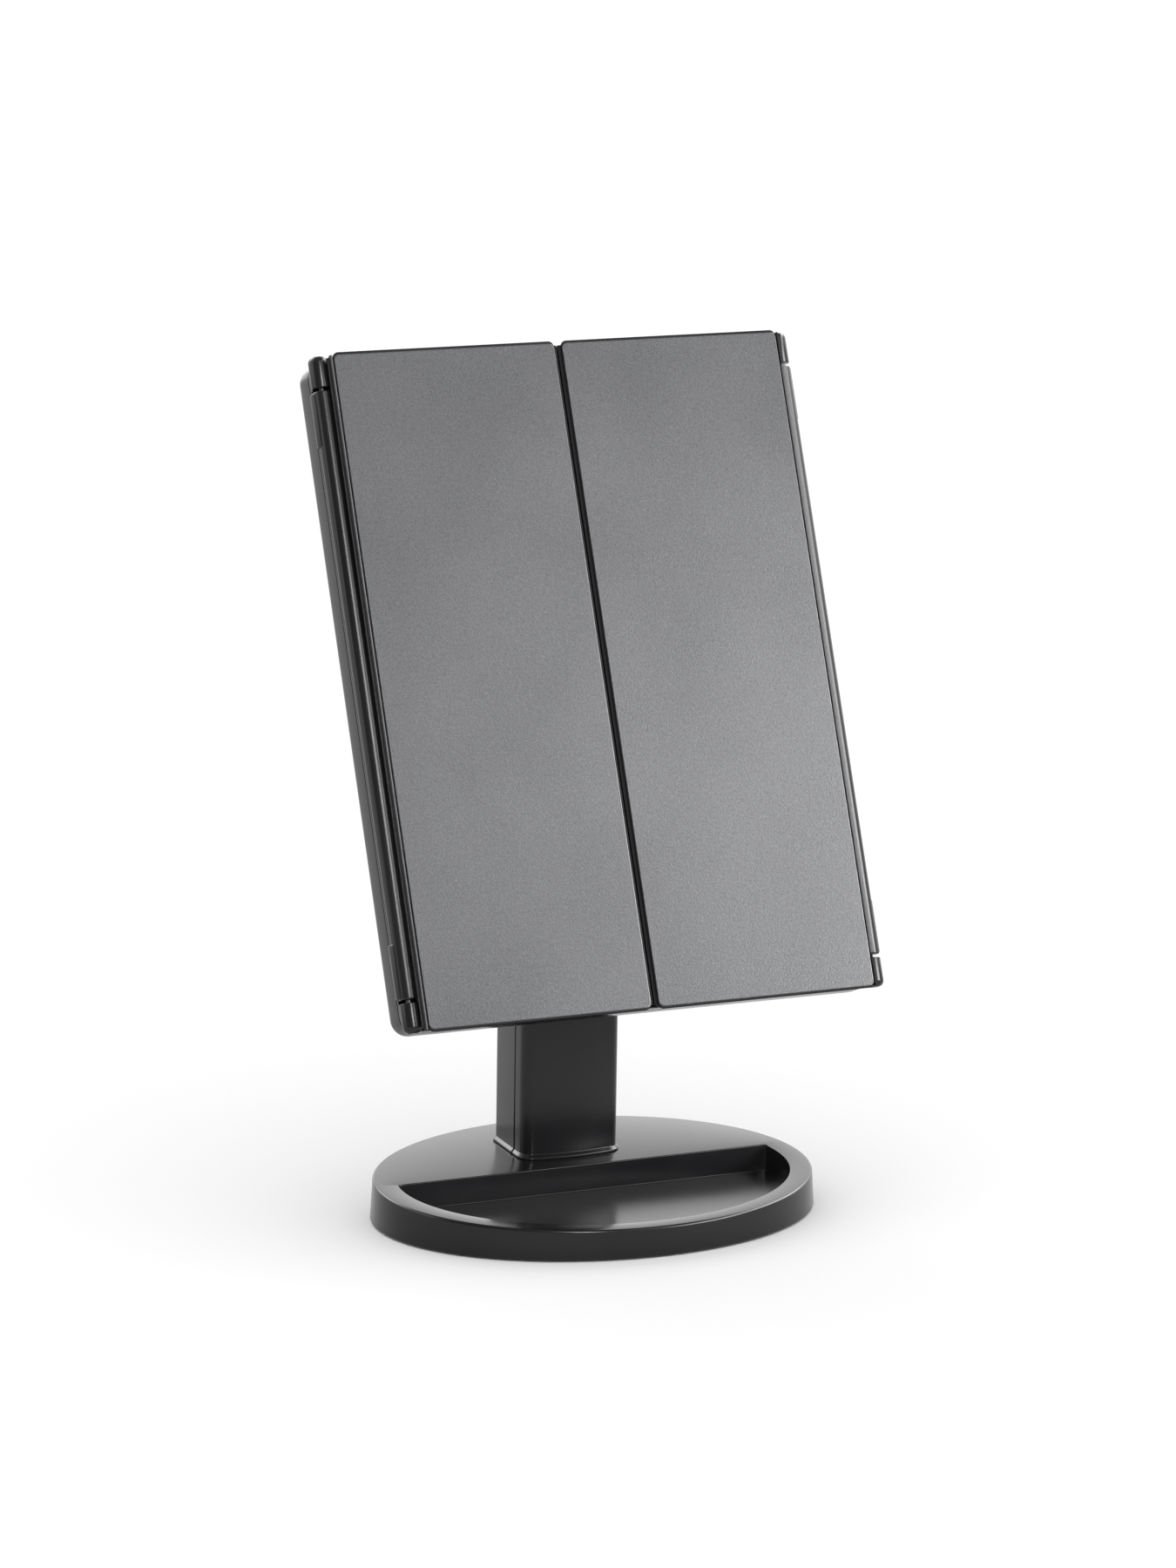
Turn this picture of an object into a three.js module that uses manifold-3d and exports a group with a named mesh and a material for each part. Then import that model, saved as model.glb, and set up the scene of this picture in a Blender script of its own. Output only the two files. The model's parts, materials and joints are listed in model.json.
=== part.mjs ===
// Countertop mirror: a lit centre panel with two folding wings, carried by a tilting joint on a
// column that holds the batteries, on an oval base with a tray. Millimetres, +Z up, front to -Y.
import * as THREE from 'three';
import { mergeVertices } from 'three/addons/utils/BufferGeometryUtils.js';
import { RoundedBoxGeometry } from 'three/addons/geometries/RoundedBoxGeometry.js';
import Module from 'manifold-3d';

const wasm = await Module();
wasm.setup();

// ---------------------------------------------------------------- driving dimensions
const gap = 0.3;                // air between pieces that rest on each other
const runningGap = 0.5;         // air between pieces that turn past each other
const beyond = 20;              // how far a cutter reaches past what it cuts
const everywhere = 500;         // half the size of a block that takes in the whole object

const base = {
  halfWidth: 82,
  halfDepth: 62.8,
  wall: 2.2,
  wallLean: 0.7,                // the side wall leans in by this much at the top
  edgeRadius: 1.2,
  deckHeight: 14.3,             // at the middle, above the table
  deckSlope: 0.054,             // the deck rises towards the back
  footProud: 0.6,
};
const tray = { sideRim: 9, frontRim: 7.2, backY: 8, floorZ: 5, floorThickness: 1.8, floorRadius: 2 };
const plate = { thickness: 1.8, recess: 0.8, counterbore: 1 };
const foot = { radius: 6, height: 1.1, edge: 0.3, inset: 10.4, bearing: 45 };
const boss = { radius: 3.5, inset: 13, bearing: 25, screwLength: 9 };
const ballast = { thickness: 5, inset: 9 };
const cable = { radius: 4 };
const usb = { width: 9, height: 3.4, depth: 7, z: 9.5, sheet: 0.4, sunk: 0.6 };
const tongue = { thickness: 0.8, sunk: 1.4 };

const cell = { radius: 7, length: 50, nubRadius: 2.6, nubHeight: 1, edge: 0.6 };
const bay = {
  slack: 1,                     // beside the two columns of cells
  frontY: 28.2,
  rise: 13.27,                  // from the deck to the bay's floor
  contactRoom: 3.2,
  doorRoom: 0.4,                // between the cells and the door
  doorLedge: 1.2,
};
const contact = {
  half: 5.5, sheet: 0.5, sink: 0.2,
  coneFoot: 4, coneTop: 2.2, buttonLow: 2.4, buttonHigh: 3,
};
const door = { thickness: 1.8, ribHalf: 8, ribHeight: 1.2, ribProud: 0.7, ribPitch: 2.6, ribs: 4 };
const toggle = {
  halfWidth: 6, height: 5, depth: 5, wall: 1, floor: 1.5,
  knobHalfWidth: 2.2, knobProud: 1.2, travel: 1.5, groove: 0.6, groovePitch: 1.3, grooveDepth: 0.5,
};
const stem = {
  sideWall: 3.9,                // from the bay to the outside
  frontY: 18.3,                 // at the corners, behind the bowed middle
  bow: 1.2,
  frontRadius: 4.6,
  backRadius: 2.6,
  seamY: 27,                    // where the front and back mouldings meet
  wall: 2,
  root: 4,                      // how far the uncut column reaches below the deck
  topRoom: 20.3,                // from the bay's ceiling to the column's top
  shoulderDrop: 17,             // from the tilt axis down to the column's top
  collar: 1,
  collarHeight: 2,
  screwX: 11,
  screwFromBack: 9,
  screwLength: 9,
};

const pivot = {
  pinRadius: 3, eyeRadius: 11, standoff: 1.5, capRadius: 5.5, capDepth: 1.3,
  neckHalfWidth: 12.2, neckClear: 1.5, neckFloor: 4, washer: 0.9, washerInset: 1.5,
};
const head = {
  halfWidth: 90.8,
  height: 237,
  depth: 25.5,                  // wing face to rear surface
  edgeRadius: 6,
  wall: 2,
  bezelThickness: 5.2,
  pivotRise: 111.2,             // from the lower edge to the tilt axis, along the panel
  tilt: THREE.MathUtils.degToRad(22),
};
const bracket = {
  halfWidth: 30, below: 14, above: 30, thickness: 3, cornerRadius: 4,
  screwX: 25, screwLength: 6,
};
const post = { radius: 4.2, inset: 3.2, sink: 4 };
const board = { halfWidth: 24, low: 34, high: 66, thickness: 1.6, setBack: 4, corner: 4, postRadius: 2.2 };
const chips = [[-10, 44, 7], [8, 50, 5], [-4, 58, 3]];     // x, height up the panel, size
const touch = { radius: 8, thickness: 0.8, rise: 12 };

const hinge = { radius: 3.5, inset: 2.1, knuckle: 10.4, slit: 1.2, pinRadius: 1, pinGrip: 7, edge: 0.9 };
// The barrel is thicker behind its two ends, where it is bored for the pins.
const lug = { length: 19, thinner: 0.4, out: 1.05, back: 0.75, setBack: 0.5 };
const wing = {
  thickness: 6.5,
  halfSlit: 1.45,               // half of the slit between the closed wings
  cover: 1.2,
  coverEdge: 0.3,
  inset: 0.4,                   // the frame sits back from the cover's edges
  coverStop: 3.3,               // from the hinge axis to the cover's edge
  lipStop: 1.3,                 // from the hinge axis to the lip's outer edge
  lip: 1.5,
  flange: 1.1,
  flangeReach: 5,               // how far the flange laps onto the frame
  step: 0.15,                   // between faces of the frame that lie nearly level
  cornerRadius: 2,
};
const glass = { thickness: 2.2, border: 6, sunk: 0.1, rib: 5, cornerRadius: 1, edge: 0.2 };
const lamp = { fromHinge: 13.7, halfWidth: 4.8, border: 18, depth: 2.5, cornerRadius: 2, edge: 0.4 };
const strip = {
  thickness: 1.2, setBack: 1.2, short: 1,
  chips: 12, chipHalfWidth: 1.75, chipHalfHeight: 1.4, chipHeight: 0.8,
};
const centreGlass = { fromLamp: 3.7, border: 10, thickness: 2.6, sunk: 0.5, cornerRadius: 2, edge: 0.3 };
const screw = { headRadius: 2.8, headHeight: 2, shankRadius: 1.4, slot: 0.9, point: 1 };

// ---------------------------------------------------------------- sizes that follow from them
const deckAt = (y) => base.deckHeight + base.deckSlope * y;
const plateTop = base.footProud + plate.thickness;
const boreRadius = screw.shankRadius + gap;
const sinkRadius = screw.headRadius + gap;

const bayHalfWidth = 2 * cell.radius + bay.slack;
const cellY = bay.frontY + gap + cell.radius;
const cellX = [-bayHalfWidth / 2, bayHalfWidth / 2];
const stemHalfWidth = bayHalfWidth + stem.sideWall;
const stemFront = stem.frontY - stem.bow;
const stemBack = bay.frontY + 2 * (cell.radius + gap) + bay.doorRoom + door.thickness;
const bayFloor = deckAt(stemBack) + bay.rise;
const bayTop = bayFloor + 2 * cell.length + 2 * bay.contactRoom;
const shoulderZ = bayTop + stem.topRoom;
const toggleZ = (bayTop + shoulderZ) / 2;
const neckBottom = bayTop + pivot.neckFloor;
const neckFrontY = stemFront + stem.wall + pivot.neckClear;
const neckBackY = stemBack - toggle.depth - pivot.neckClear;
const stemScrewPlaces = [-1, 1].map((side) => [side * stem.screwX, stemBack - stem.screwFromBack]);

const axisY = (stemFront + stemBack) / 2;
const axisZ = shoulderZ + stem.shoulderDrop;
const axisDepth = head.depth + axisY - stemFront + pivot.standoff;    // tilt axis behind the wing faces
const bezelFront = wing.thickness + 2 * gap;
const bezelBack = bezelFront + head.bezelThickness;
const coverFront = bezelBack + gap;
const hingeX = head.halfWidth - hinge.inset;
const hingeDepth = wing.thickness + gap;
const barrelEnd = hinge.knuckle + hinge.slit;
const lampX = hingeX - lamp.fromHinge;
const paneHalfWidth = lampX - lamp.halfWidth - centreGlass.fromLamp;
const paneBack = bezelFront + centreGlass.sunk + centreGlass.thickness;
const boardDepth = coverFront + board.setBack;

const postX = hingeX - hinge.radius - post.inset;
const postRise = lamp.border + strip.short - 2 * gap - post.radius;
const postPlaces = [-1, 1].flatMap((side) => [postRise, head.height - postRise]
  .map((z) => [side * postX, z]));
const bracketScrewPlaces = [-1, 1].map((side) => [side * bracket.screwX,
  head.pivotRise + (bracket.above - bracket.below) / 2]);
const boardCorners = [-1, 1].flatMap((side) => [board.low + board.corner, board.high - board.corner]
  .map((z) => [side * (board.halfWidth - board.corner), z]));

// ---------------------------------------------------------------- materials
function plain(colour, roughness, metalness = 0) {
  return () => new THREE.MeshStandardMaterial({ color: colour, roughness, metalness });
}
const satinBlack = plain(0x1c1c1e, 0.42);
const grainedBlack = plain(0x3a3a3c, 0.55);
const glossBlack = plain(0x101012, 0.2);
const rubber = plain(0x18181a, 0.9);
const steel = plain(0xb8b8bc, 0.3, 1);
const silvered = plain(0xe8ecee, 0.03, 1);
const frosted = plain(0xf2f4f2, 0.6);
const boardGreen = plain(0x1f5a38, 0.6);
const boardWhite = plain(0xe6e6e2, 0.55);
const copper = plain(0xb87b4a, 0.35, 1);
const cellWrap = plain(0x6d7a86, 0.4);

// ---------------------------------------------------------------- solids and booleans
function weld(geometry) {
  const bare = geometry.clone();
  bare.deleteAttribute('normal');
  bare.deleteAttribute('uv');
  return mergeVertices(bare, 1e-4);
}

function signedVolume(points, triangles) {
  const [a, b, c] = [new THREE.Vector3(), new THREE.Vector3(), new THREE.Vector3()];
  let sum = 0;
  for (let i = 0; i < triangles.length; i += 3) {
    a.fromArray(points, 3 * triangles[i]);
    b.fromArray(points, 3 * triangles[i + 1]);
    c.fromArray(points, 3 * triangles[i + 2]);
    sum += a.dot(b.cross(c)) / 6;
  }
  return sum;
}

// A closed three.js geometry as a solid, with its faces turned outwards.
function solid(geometry) {
  const welded = weld(geometry);
  const points = new Float32Array(welded.attributes.position.array);
  const kept = [];
  for (let i = 0; i < welded.index.count; i += 3) {
    const [a, b, c] = [0, 1, 2].map((k) => welded.index.getX(i + k));
    if (a !== b && b !== c && c !== a) kept.push(a, b, c);
  }
  if (signedVolume(points, kept) < 0) {
    for (let i = 0; i < kept.length; i += 3) [kept[i], kept[i + 1]] = [kept[i + 1], kept[i]];
  }
  const triVerts = new Uint32Array(kept);
  return new wasm.Manifold(new wasm.Mesh({ numProp: 3, vertProperties: points, triVerts }));
}

function geometryOf(body) {
  const mesh = body.getMesh();
  const geometry = new THREE.BufferGeometry();
  geometry.setAttribute('position', new THREE.Float32BufferAttribute(mesh.vertProperties, 3));
  geometry.setIndex(new THREE.Uint32BufferAttribute(mesh.triVerts, 1));
  const faceted = geometry.toNonIndexed();
  faceted.computeVertexNormals();
  return faceted;
}

const join = (first, ...others) => others.reduce((sum, other) => sum.add(other), first);
const cut = (first, ...others) => others.reduce((rest, other) => rest.subtract(other), first);
const common = (first, other) => first.intersect(other);

// ---------------------------------------------------------------- building blocks
function block(x1, x2, y1, y2, z1, z2) {
  const geometry = new THREE.BoxGeometry(Math.abs(x2 - x1), Math.abs(y2 - y1), Math.abs(z2 - z1));
  return solid(geometry.translate((x1 + x2) / 2, (y1 + y2) / 2, (z1 + z2) / 2));
}

// Everything on one side of a plane, as a large block.
const farther = (y) => block(-everywhere, everywhere, y, everywhere, -everywhere, everywhere);
const nearer = (y) => block(-everywhere, everywhere, -everywhere, y, -everywhere, everywhere);

function rodUp(radius, x, y, z1, z2, sides = 24) {
  const geometry = new THREE.CylinderGeometry(radius, radius, z2 - z1, sides).rotateX(Math.PI / 2);
  return solid(geometry.translate(x, y, (z1 + z2) / 2));
}

function rodAcross(radius, x1, x2, y, z, sides = 32) {
  const geometry = new THREE.CylinderGeometry(radius, radius, Math.abs(x2 - x1), sides);
  return solid(geometry.rotateZ(Math.PI / 2).translate((x1 + x2) / 2, y, z));
}

function rodBack(radius, x, y1, y2, z, sides = 20) {
  const geometry = new THREE.CylinderGeometry(radius, radius, y2 - y1, sides);
  return solid(geometry.translate(x, (y1 + y2) / 2, z));
}

function turned(profile, sides = 24) {
  const points = profile.map(([radius, height]) => new THREE.Vector2(radius, height));
  return new THREE.LatheGeometry(points, sides).rotateX(Math.PI / 2);
}

function arcPoints(cx, cy, radius, from, to, steps = 3) {
  return Array.from({ length: steps + 1 }, (_, i) => {
    const angle = THREE.MathUtils.degToRad(from + (to - from) * i / steps);
    return [cx + radius * Math.cos(angle), cy + radius * Math.sin(angle)];
  });
}

// An oval slab made by turning a profile and pressing it to the oval's depth.
function ovalSlab(halfWidth, halfDepth, profile) {
  return turned(profile, 64).scale(1, halfDepth / halfWidth, 1);
}

function roundedRectangle(x1, x2, z1, z2, radius) {
  const [left, right] = [Math.min(x1, x2), Math.max(x1, x2)];
  const shape = new THREE.Shape();
  shape.moveTo(left + radius, z1);
  shape.lineTo(right - radius, z1);
  shape.absarc(right - radius, z1 + radius, radius, -Math.PI / 2, 0);
  shape.lineTo(right, z2 - radius);
  shape.absarc(right - radius, z2 - radius, radius, 0, Math.PI / 2);
  shape.lineTo(left + radius, z2);
  shape.absarc(left + radius, z2 - radius, radius, Math.PI / 2, Math.PI);
  shape.lineTo(left, z1 + radius);
  shape.absarc(left + radius, z1 + radius, radius, Math.PI, 1.5 * Math.PI);
  return shape;
}

// A shape drawn on the panel (x, height) and given a thickness from one depth to another.
function panel(shape, near, far, bevel = 0) {
  const options = { depth: far - near - 2 * bevel, bevelEnabled: bevel > 0, bevelThickness: bevel,
    bevelSize: bevel, bevelOffset: -bevel, bevelSegments: 1, curveSegments: 3 };
  const geometry = new THREE.ExtrudeGeometry(shape, options).rotateX(Math.PI / 2);
  return solid(geometry.translate(0, far - bevel, 0));
}

// A pan-head screw with a cross slot, standing on its head's underside and pointing along +Z.
function screwSolid(length) {
  const profile = [[0, -screw.headHeight], [screw.headRadius * 0.75, -screw.headHeight],
    [screw.headRadius, -screw.headHeight * 0.55], [screw.headRadius, 0], [screw.shankRadius, 0],
    [screw.shankRadius, length - screw.point], [0, length]];
  const half = screw.headRadius * 0.6;
  const slotFloor = -screw.headHeight * 0.45;
  const bar = (w, d) => block(-w, w, -d, d, -2 * screw.headHeight, slotFloor);
  return cut(solid(turned(profile, 12)), bar(half, screw.slot / 2), bar(screw.slot / 2, half));
}

function named(name, body, material) {
  const mesh = new THREE.Mesh(geometryOf(body), material());
  mesh.name = name;
  return mesh;
}

function placed(mesh, x, y, z) {
  mesh.position.set(x, y, z);
  return mesh;
}

const mirror = new THREE.Group();
const stand = new THREE.Group();
mirror.add(stand);

// ---------------------------------------------------------------- base
// A place on an oval that lies inside the base's edge by the inset, in one quarter of it.
function ovalPlace({ inset, bearing }, sideX, sideY) {
  const angle = THREE.MathUtils.degToRad(bearing);
  return [sideX * (base.halfWidth - inset) * Math.cos(angle),
    sideY * (base.halfDepth - inset) * Math.sin(angle)];
}
const bossPlaces = [ovalPlace(boss, -1, 1), ovalPlace(boss, 1, 1)];
const footPlaces = {
  front_left: ovalPlace(foot, -1, -1),
  front_right: ovalPlace(foot, 1, -1),
  rear_left: ovalPlace(foot, -1, 1),
  rear_right: ovalPlace(foot, 1, 1),
};
const cableY = stem.seamY - cable.radius + 1;

// An oval slab whose flat top is tipped to the slope of the deck.
function tippedOval(halfWidth, halfDepth, bottom, top, lean, radius) {
  const rim = halfWidth - lean;
  const edge = radius > 0 ? arcPoints(rim - radius, top - radius, radius, 0, 90) : [[rim, top]];
  const geometry = ovalSlab(halfWidth, halfDepth, [[0, bottom], [halfWidth, bottom], ...edge, [0, top]]);
  const position = geometry.attributes.position;
  for (let i = 0; i < position.count; i++) {
    const share = (position.getZ(i) - bottom) / (top - bottom);
    position.setZ(i, position.getZ(i) + share * base.deckSlope * position.getY(i));
  }
  return solid(geometry);
}

// The tray's oval from its floor up, cut off by the straight wall at the back.
function trayHollow(grow, floorZ) {
  const halfWidth = base.halfWidth - tray.sideRim + grow;
  const halfDepth = base.halfDepth - tray.frontRim + grow;
  const top = base.deckHeight + beyond;
  const corner = arcPoints(halfWidth - tray.floorRadius, floorZ + tray.floorRadius, tray.floorRadius, -90, 0);
  const profile = [[0, floorZ], ...corner, [halfWidth, top], [0, top]];
  return common(solid(ovalSlab(halfWidth, halfDepth, profile)), nearer(tray.backY + grow));
}

function usbPort() {
  const [w, h] = [usb.width / 2 + gap, usb.height / 2 + gap];
  const inside = base.halfDepth - 2 * base.wall;
  return block(-w, w, inside, base.halfDepth + beyond, usb.z - h, usb.z + h);
}

function baseShell() {
  const outer = tippedOval(base.halfWidth, base.halfDepth, base.footProud, base.deckHeight,
    base.wallLean, base.edgeRadius);
  const inner = tippedOval(base.halfWidth - base.wall, base.halfDepth - base.wall, -beyond,
    base.deckHeight - base.wall, base.wallLean, 0);
  const hollow = cut(inner, trayHollow(base.wall, tray.floorZ - tray.floorThickness));
  const bosses = bossPlaces.map(([x, y]) => rodUp(boss.radius, x, y, plateTop + gap,
    deckAt(y) - base.wall / 2));
  const bores = bossPlaces.map(([x, y]) => rodUp(boreRadius, x, y, 0, deckAt(y) - 1.5 * base.wall, 16));
  const stemHoles = stemScrewPlaces.map(([x, y]) => rodUp(boreRadius, x, y, 0, deckAt(y) + beyond, 16));
  const cableHole = rodUp(cable.radius, 0, cableY, 0, deckAt(cableY) + beyond);
  const shell = join(cut(outer, hollow), ...bosses);
  return cut(shell, trayHollow(0, tray.floorZ), ...bores, ...stemHoles, cableHole, usbPort());
}

function basePlate() {
  const halfWidth = base.halfWidth - base.wall - base.wallLean - gap;
  const halfDepth = base.halfDepth - base.wall - base.wallLean - gap;
  const profile = [[0, base.footProud], [halfWidth, base.footProud], [halfWidth, plateTop], [0, plateTop]];
  const recesses = Object.values(footPlaces).map(([x, y]) => rodUp(foot.radius + gap, x, y, 0,
    base.footProud + plate.recess));
  const sinkTop = base.footProud + plate.counterbore;
  const sinks = bossPlaces.map(([x, y]) => rodUp(sinkRadius, x, y, 0, sinkTop, 20));
  const holes = bossPlaces.map(([x, y]) => rodUp(boreRadius, x, y, 0, beyond, 16));
  return cut(solid(ovalSlab(halfWidth, halfDepth, profile)), ...recesses, ...sinks, ...holes);
}

function ballastPlate() {
  const bottom = plateTop + gap;
  const halfWidth = base.halfWidth - ballast.inset;
  const halfDepth = base.halfDepth - ballast.inset;
  const top = bottom + ballast.thickness;
  const profile = [[0, bottom], [halfWidth, bottom], [halfWidth, top], [0, top]];
  const behindTray = farther(tray.backY + base.wall + 2 * runningGap);
  const slab = common(solid(ovalSlab(halfWidth, halfDepth, profile)), behindTray);
  const around = bossPlaces.map(([x, y]) => rodUp(boss.radius + runningGap, x, y, 0, beyond));
  return cut(slab, ...around, rodUp(cable.radius + runningGap, 0, cableY, 0, beyond));
}

function footPad() {
  const { radius, height, edge } = foot;
  return solid(turned([[0, 0], [radius - edge, 0], [radius, edge], [radius, height], [0, height]], 20));
}

// A flat-head screw with a cross slot, pointing up, its head's face at height 0.
function baseScrew() {
  const head = rodUp(screw.headRadius, 0, 0, gap / 2, plate.counterbore - gap, 20);
  const shank = rodUp(screw.shankRadius, 0, 0, plate.counterbore - gap, boss.screwLength, 16);
  const [reach, half] = [screw.headRadius * 0.6, screw.slot / 2];
  const slotTop = plate.counterbore / 2;
  const bar = (w, d) => block(-w, w, -d, d, 0, slotTop);
  return cut(join(head, shank), bar(reach, half), bar(half, reach));
}

function usbShell() {
  const [w, h, mouth] = [usb.width / 2, usb.height / 2, base.halfDepth - usb.sunk];
  const back = mouth - usb.depth;
  const outer = block(-w, w, back, mouth, usb.z - h, usb.z + h);
  return cut(outer, block(-w + usb.sheet, w - usb.sheet, back + 2 * usb.sheet, mouth + beyond,
    usb.z - h + usb.sheet, usb.z + h - usb.sheet));
}

function usbTongue() {
  const [w, h] = [usb.width / 2 - 3 * usb.sheet, tongue.thickness / 2];
  const back = base.halfDepth - usb.sunk - usb.depth + 2 * usb.sheet + gap;
  return block(-w, w, back, base.halfDepth - tongue.sunk, usb.z - h, usb.z + h);
}

function addBase() {
  stand.add(named('base_shell', baseShell(), satinBlack));
  stand.add(named('base_plate', basePlate(), satinBlack));
  stand.add(named('ballast_plate', ballastPlate(), steel));
  for (const [corner, [x, y]] of Object.entries(footPlaces)) {
    stand.add(placed(named(`foot_${corner}`, footPad(), rubber), x, y, 0));
  }
  bossPlaces.forEach(([x, y], i) => {
    stand.add(placed(named(`base_screw_${i + 1}`, baseScrew(), steel), x, y, base.footProud));
  });
  stemScrewPlaces.forEach(([x, y], i) => {
    const mesh = named(`stem_screw_${i + 1}`, screwSolid(stem.screwLength), steel);
    stand.add(placed(mesh, x, y, deckAt(y) - base.wall - 2 * gap));
  });
  stand.add(named('usb_socket', usbShell(), steel));
  stand.add(named('usb_tongue', usbTongue(), glossBlack));
}

// ---------------------------------------------------------------- column
// The column's plan: a bowed front with round corners and a flat back.
function stemPlan(grow) {
  const [w, yf, yb] = [stemHalfWidth + grow, stem.frontY - grow, stemBack + grow];
  const [rf, rb] = [stem.frontRadius + grow, stem.backRadius + grow];
  const shape = new THREE.Shape();
  shape.moveTo(-w + rf, yf);
  shape.quadraticCurveTo(0, yf - 2 * stem.bow, w - rf, yf);
  shape.absarc(w - rf, yf + rf, rf, -Math.PI / 2, 0);
  shape.lineTo(w, yb - rb);
  shape.absarc(w - rb, yb - rb, rb, 0, Math.PI / 2);
  shape.lineTo(-w + rb, yb);
  shape.absarc(-w + rb, yb - rb, rb, Math.PI / 2, Math.PI);
  shape.lineTo(-w, yf + rf);
  shape.absarc(-w + rf, yf + rf, rf, Math.PI, 1.5 * Math.PI);
  return shape;
}

function column(shape, z1, z2, bevel = 0) {
  const options = { depth: z2 - z1 - 2 * bevel, bevelEnabled: bevel > 0, bevelThickness: bevel,
    bevelSize: bevel, bevelOffset: 0, bevelSegments: 1, curveSegments: 6 };
  return solid(new THREE.ExtrudeGeometry(shape, options).translate(0, 0, z1 + bevel));
}

// Everything below the deck's surface and a gap, so that what is cut by it stands on the deck.
function belowDeck() {
  const geometry = new THREE.BoxGeometry(everywhere, everywhere, everywhere);
  geometry.translate(0, 0, -everywhere / 2).rotateX(Math.atan(base.deckSlope));
  return solid(geometry.translate(0, 0, base.deckHeight + gap));
}

function stemBody() {
  const low = deckAt(stem.frontY) - stem.root;
  const shaft = column(stemPlan(0), low, shoulderZ);
  const collar = column(stemPlan(0), low, deckAt(axisY) + stem.collarHeight, stem.collar);
  return cut(join(shaft, collar), belowDeck());
}

function neckHole() {
  const w = pivot.neckHalfWidth + gap;
  return block(-w, w, neckFrontY - gap, neckBackY + gap, neckBottom - gap, shoulderZ + beyond);
}

function stemFrontShell() {
  const hollow = column(stemPlan(-stem.wall), deckAt(stemBack) + stem.wall, shoulderZ - stem.wall);
  return cut(common(stemBody(), nearer(stem.seamY - gap / 2)), hollow, neckHole());
}

function stemBackShell() {
  const body = common(stemBody(), farther(stem.seamY + gap / 2));
  const [w, ledge, outside] = [bayHalfWidth, bay.doorLedge, stemBack + beyond];
  const hollow = block(-w, w, bay.frontY, outside, bayFloor, bayTop);
  const doorSeat = block(-w - ledge, w + ledge, stemBack - door.thickness - gap, outside,
    bayFloor - ledge, bayTop + ledge);
  const [tw, th] = [toggle.halfWidth + gap, toggle.height / 2 + gap];
  const togglePocket = block(-tw, tw, stemBack - toggle.depth - gap, outside, toggleZ - th, toggleZ + th);
  const boreTop = stem.screwLength - base.wall + 1;
  const bores = stemScrewPlaces.map(([x, y]) => rodUp(boreRadius, x, y, 0, deckAt(y) + boreTop, 16));
  return cut(body, hollow, doorSeat, togglePocket, neckHole(), ...bores);
}

function neckBlock() {
  const [w, r] = [pivot.neckHalfWidth, pivot.eyeRadius];
  const foot = block(-w, w, neckFrontY, neckBackY, neckBottom, shoulderZ + gap);
  const shank = block(-w, w, axisY - r, axisY + r, shoulderZ + gap, axisZ);
  const eye = rodAcross(r, -w, w, axisY, axisZ);
  const bore = rodAcross(pivot.pinRadius + gap, -beyond, beyond, axisY, axisZ, 24);
  return cut(join(foot, shank, eye), bore);
}

// A round cell standing up, with its nub on top.
function cellBody() {
  const { radius, length, nubRadius, nubHeight, edge } = cell;
  const shoulder = length - nubHeight;
  return solid(turned([[0, 0], [radius - edge, 0], [radius, edge], [radius, shoulder - edge],
    [radius - edge, shoulder], [nubRadius, shoulder], [nubRadius, length], [0, length]], 20));
}

// A sheet-metal strip under both columns of cells, with a spring cone for each.
function springStrip() {
  const { half, sheet, coneFoot, coneTop, sink } = contact;
  const w = cellX[1] + half;
  const top = bayFloor + bay.contactRoom - gap;
  const sheetTop = bayFloor + gap + sheet;
  const low = sheetTop - sink;
  const flat = block(-w, w, cellY - half, cellY + half, bayFloor + gap, sheetTop);
  const cone = [[0, low], [coneFoot, low], [coneTop, top], [0, top]];
  return join(flat, ...cellX.map((x) => solid(turned(cone, 16).translate(x, cellY, 0))));
}

// A sheet-metal contact at the top of one column of cells, with a low button for the nub.
function buttonContact(x) {
  const { half, sheet, buttonLow, buttonHigh, sink } = contact;
  const top = bayTop - gap;
  const low = bayFloor + bay.contactRoom + 2 * cell.length + 2 * gap;
  const flat = block(x - half, x + half, cellY - half, cellY + half, top - sheet, top);
  const button = [[0, low], [buttonLow, low], [buttonHigh, top - sink], [0, top - sink]];
  return join(flat, solid(turned(button, 16).translate(x, cellY, 0)));
}

function toggleHousing() {
  const { halfWidth, height, depth, wall, floor, knobHalfWidth, travel } = toggle;
  const outer = block(-halfWidth, halfWidth, stemBack - depth, stemBack - gap,
    toggleZ - height / 2, toggleZ + height / 2);
  const [w, h] = [knobHalfWidth + travel + gap, height / 2 - wall];
  return cut(outer, block(-w, w, stemBack - depth + floor, stemBack + beyond, toggleZ - h, toggleZ + h));
}

// The sliding knob, at the left end of its travel.
function toggleKnob() {
  const { knobHalfWidth: w, travel, knobProud, groove, groovePitch, grooveDepth } = toggle;
  const h = toggle.height / 2 - toggle.wall - gap;
  const back = stemBack - toggle.depth + toggle.floor + gap;
  const front = stemBack + knobProud;
  const body = block(-travel - w, w - travel, back, front, toggleZ - h, toggleZ + h);
  const grooves = [-1, 0, 1].map((i) => {
    const x = i * groovePitch - travel;
    return block(x - groove / 2, x + groove / 2, front - grooveDepth, front + grooveDepth,
      toggleZ - beyond, toggleZ + beyond);
  });
  return cut(body, ...grooves);
}

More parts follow.
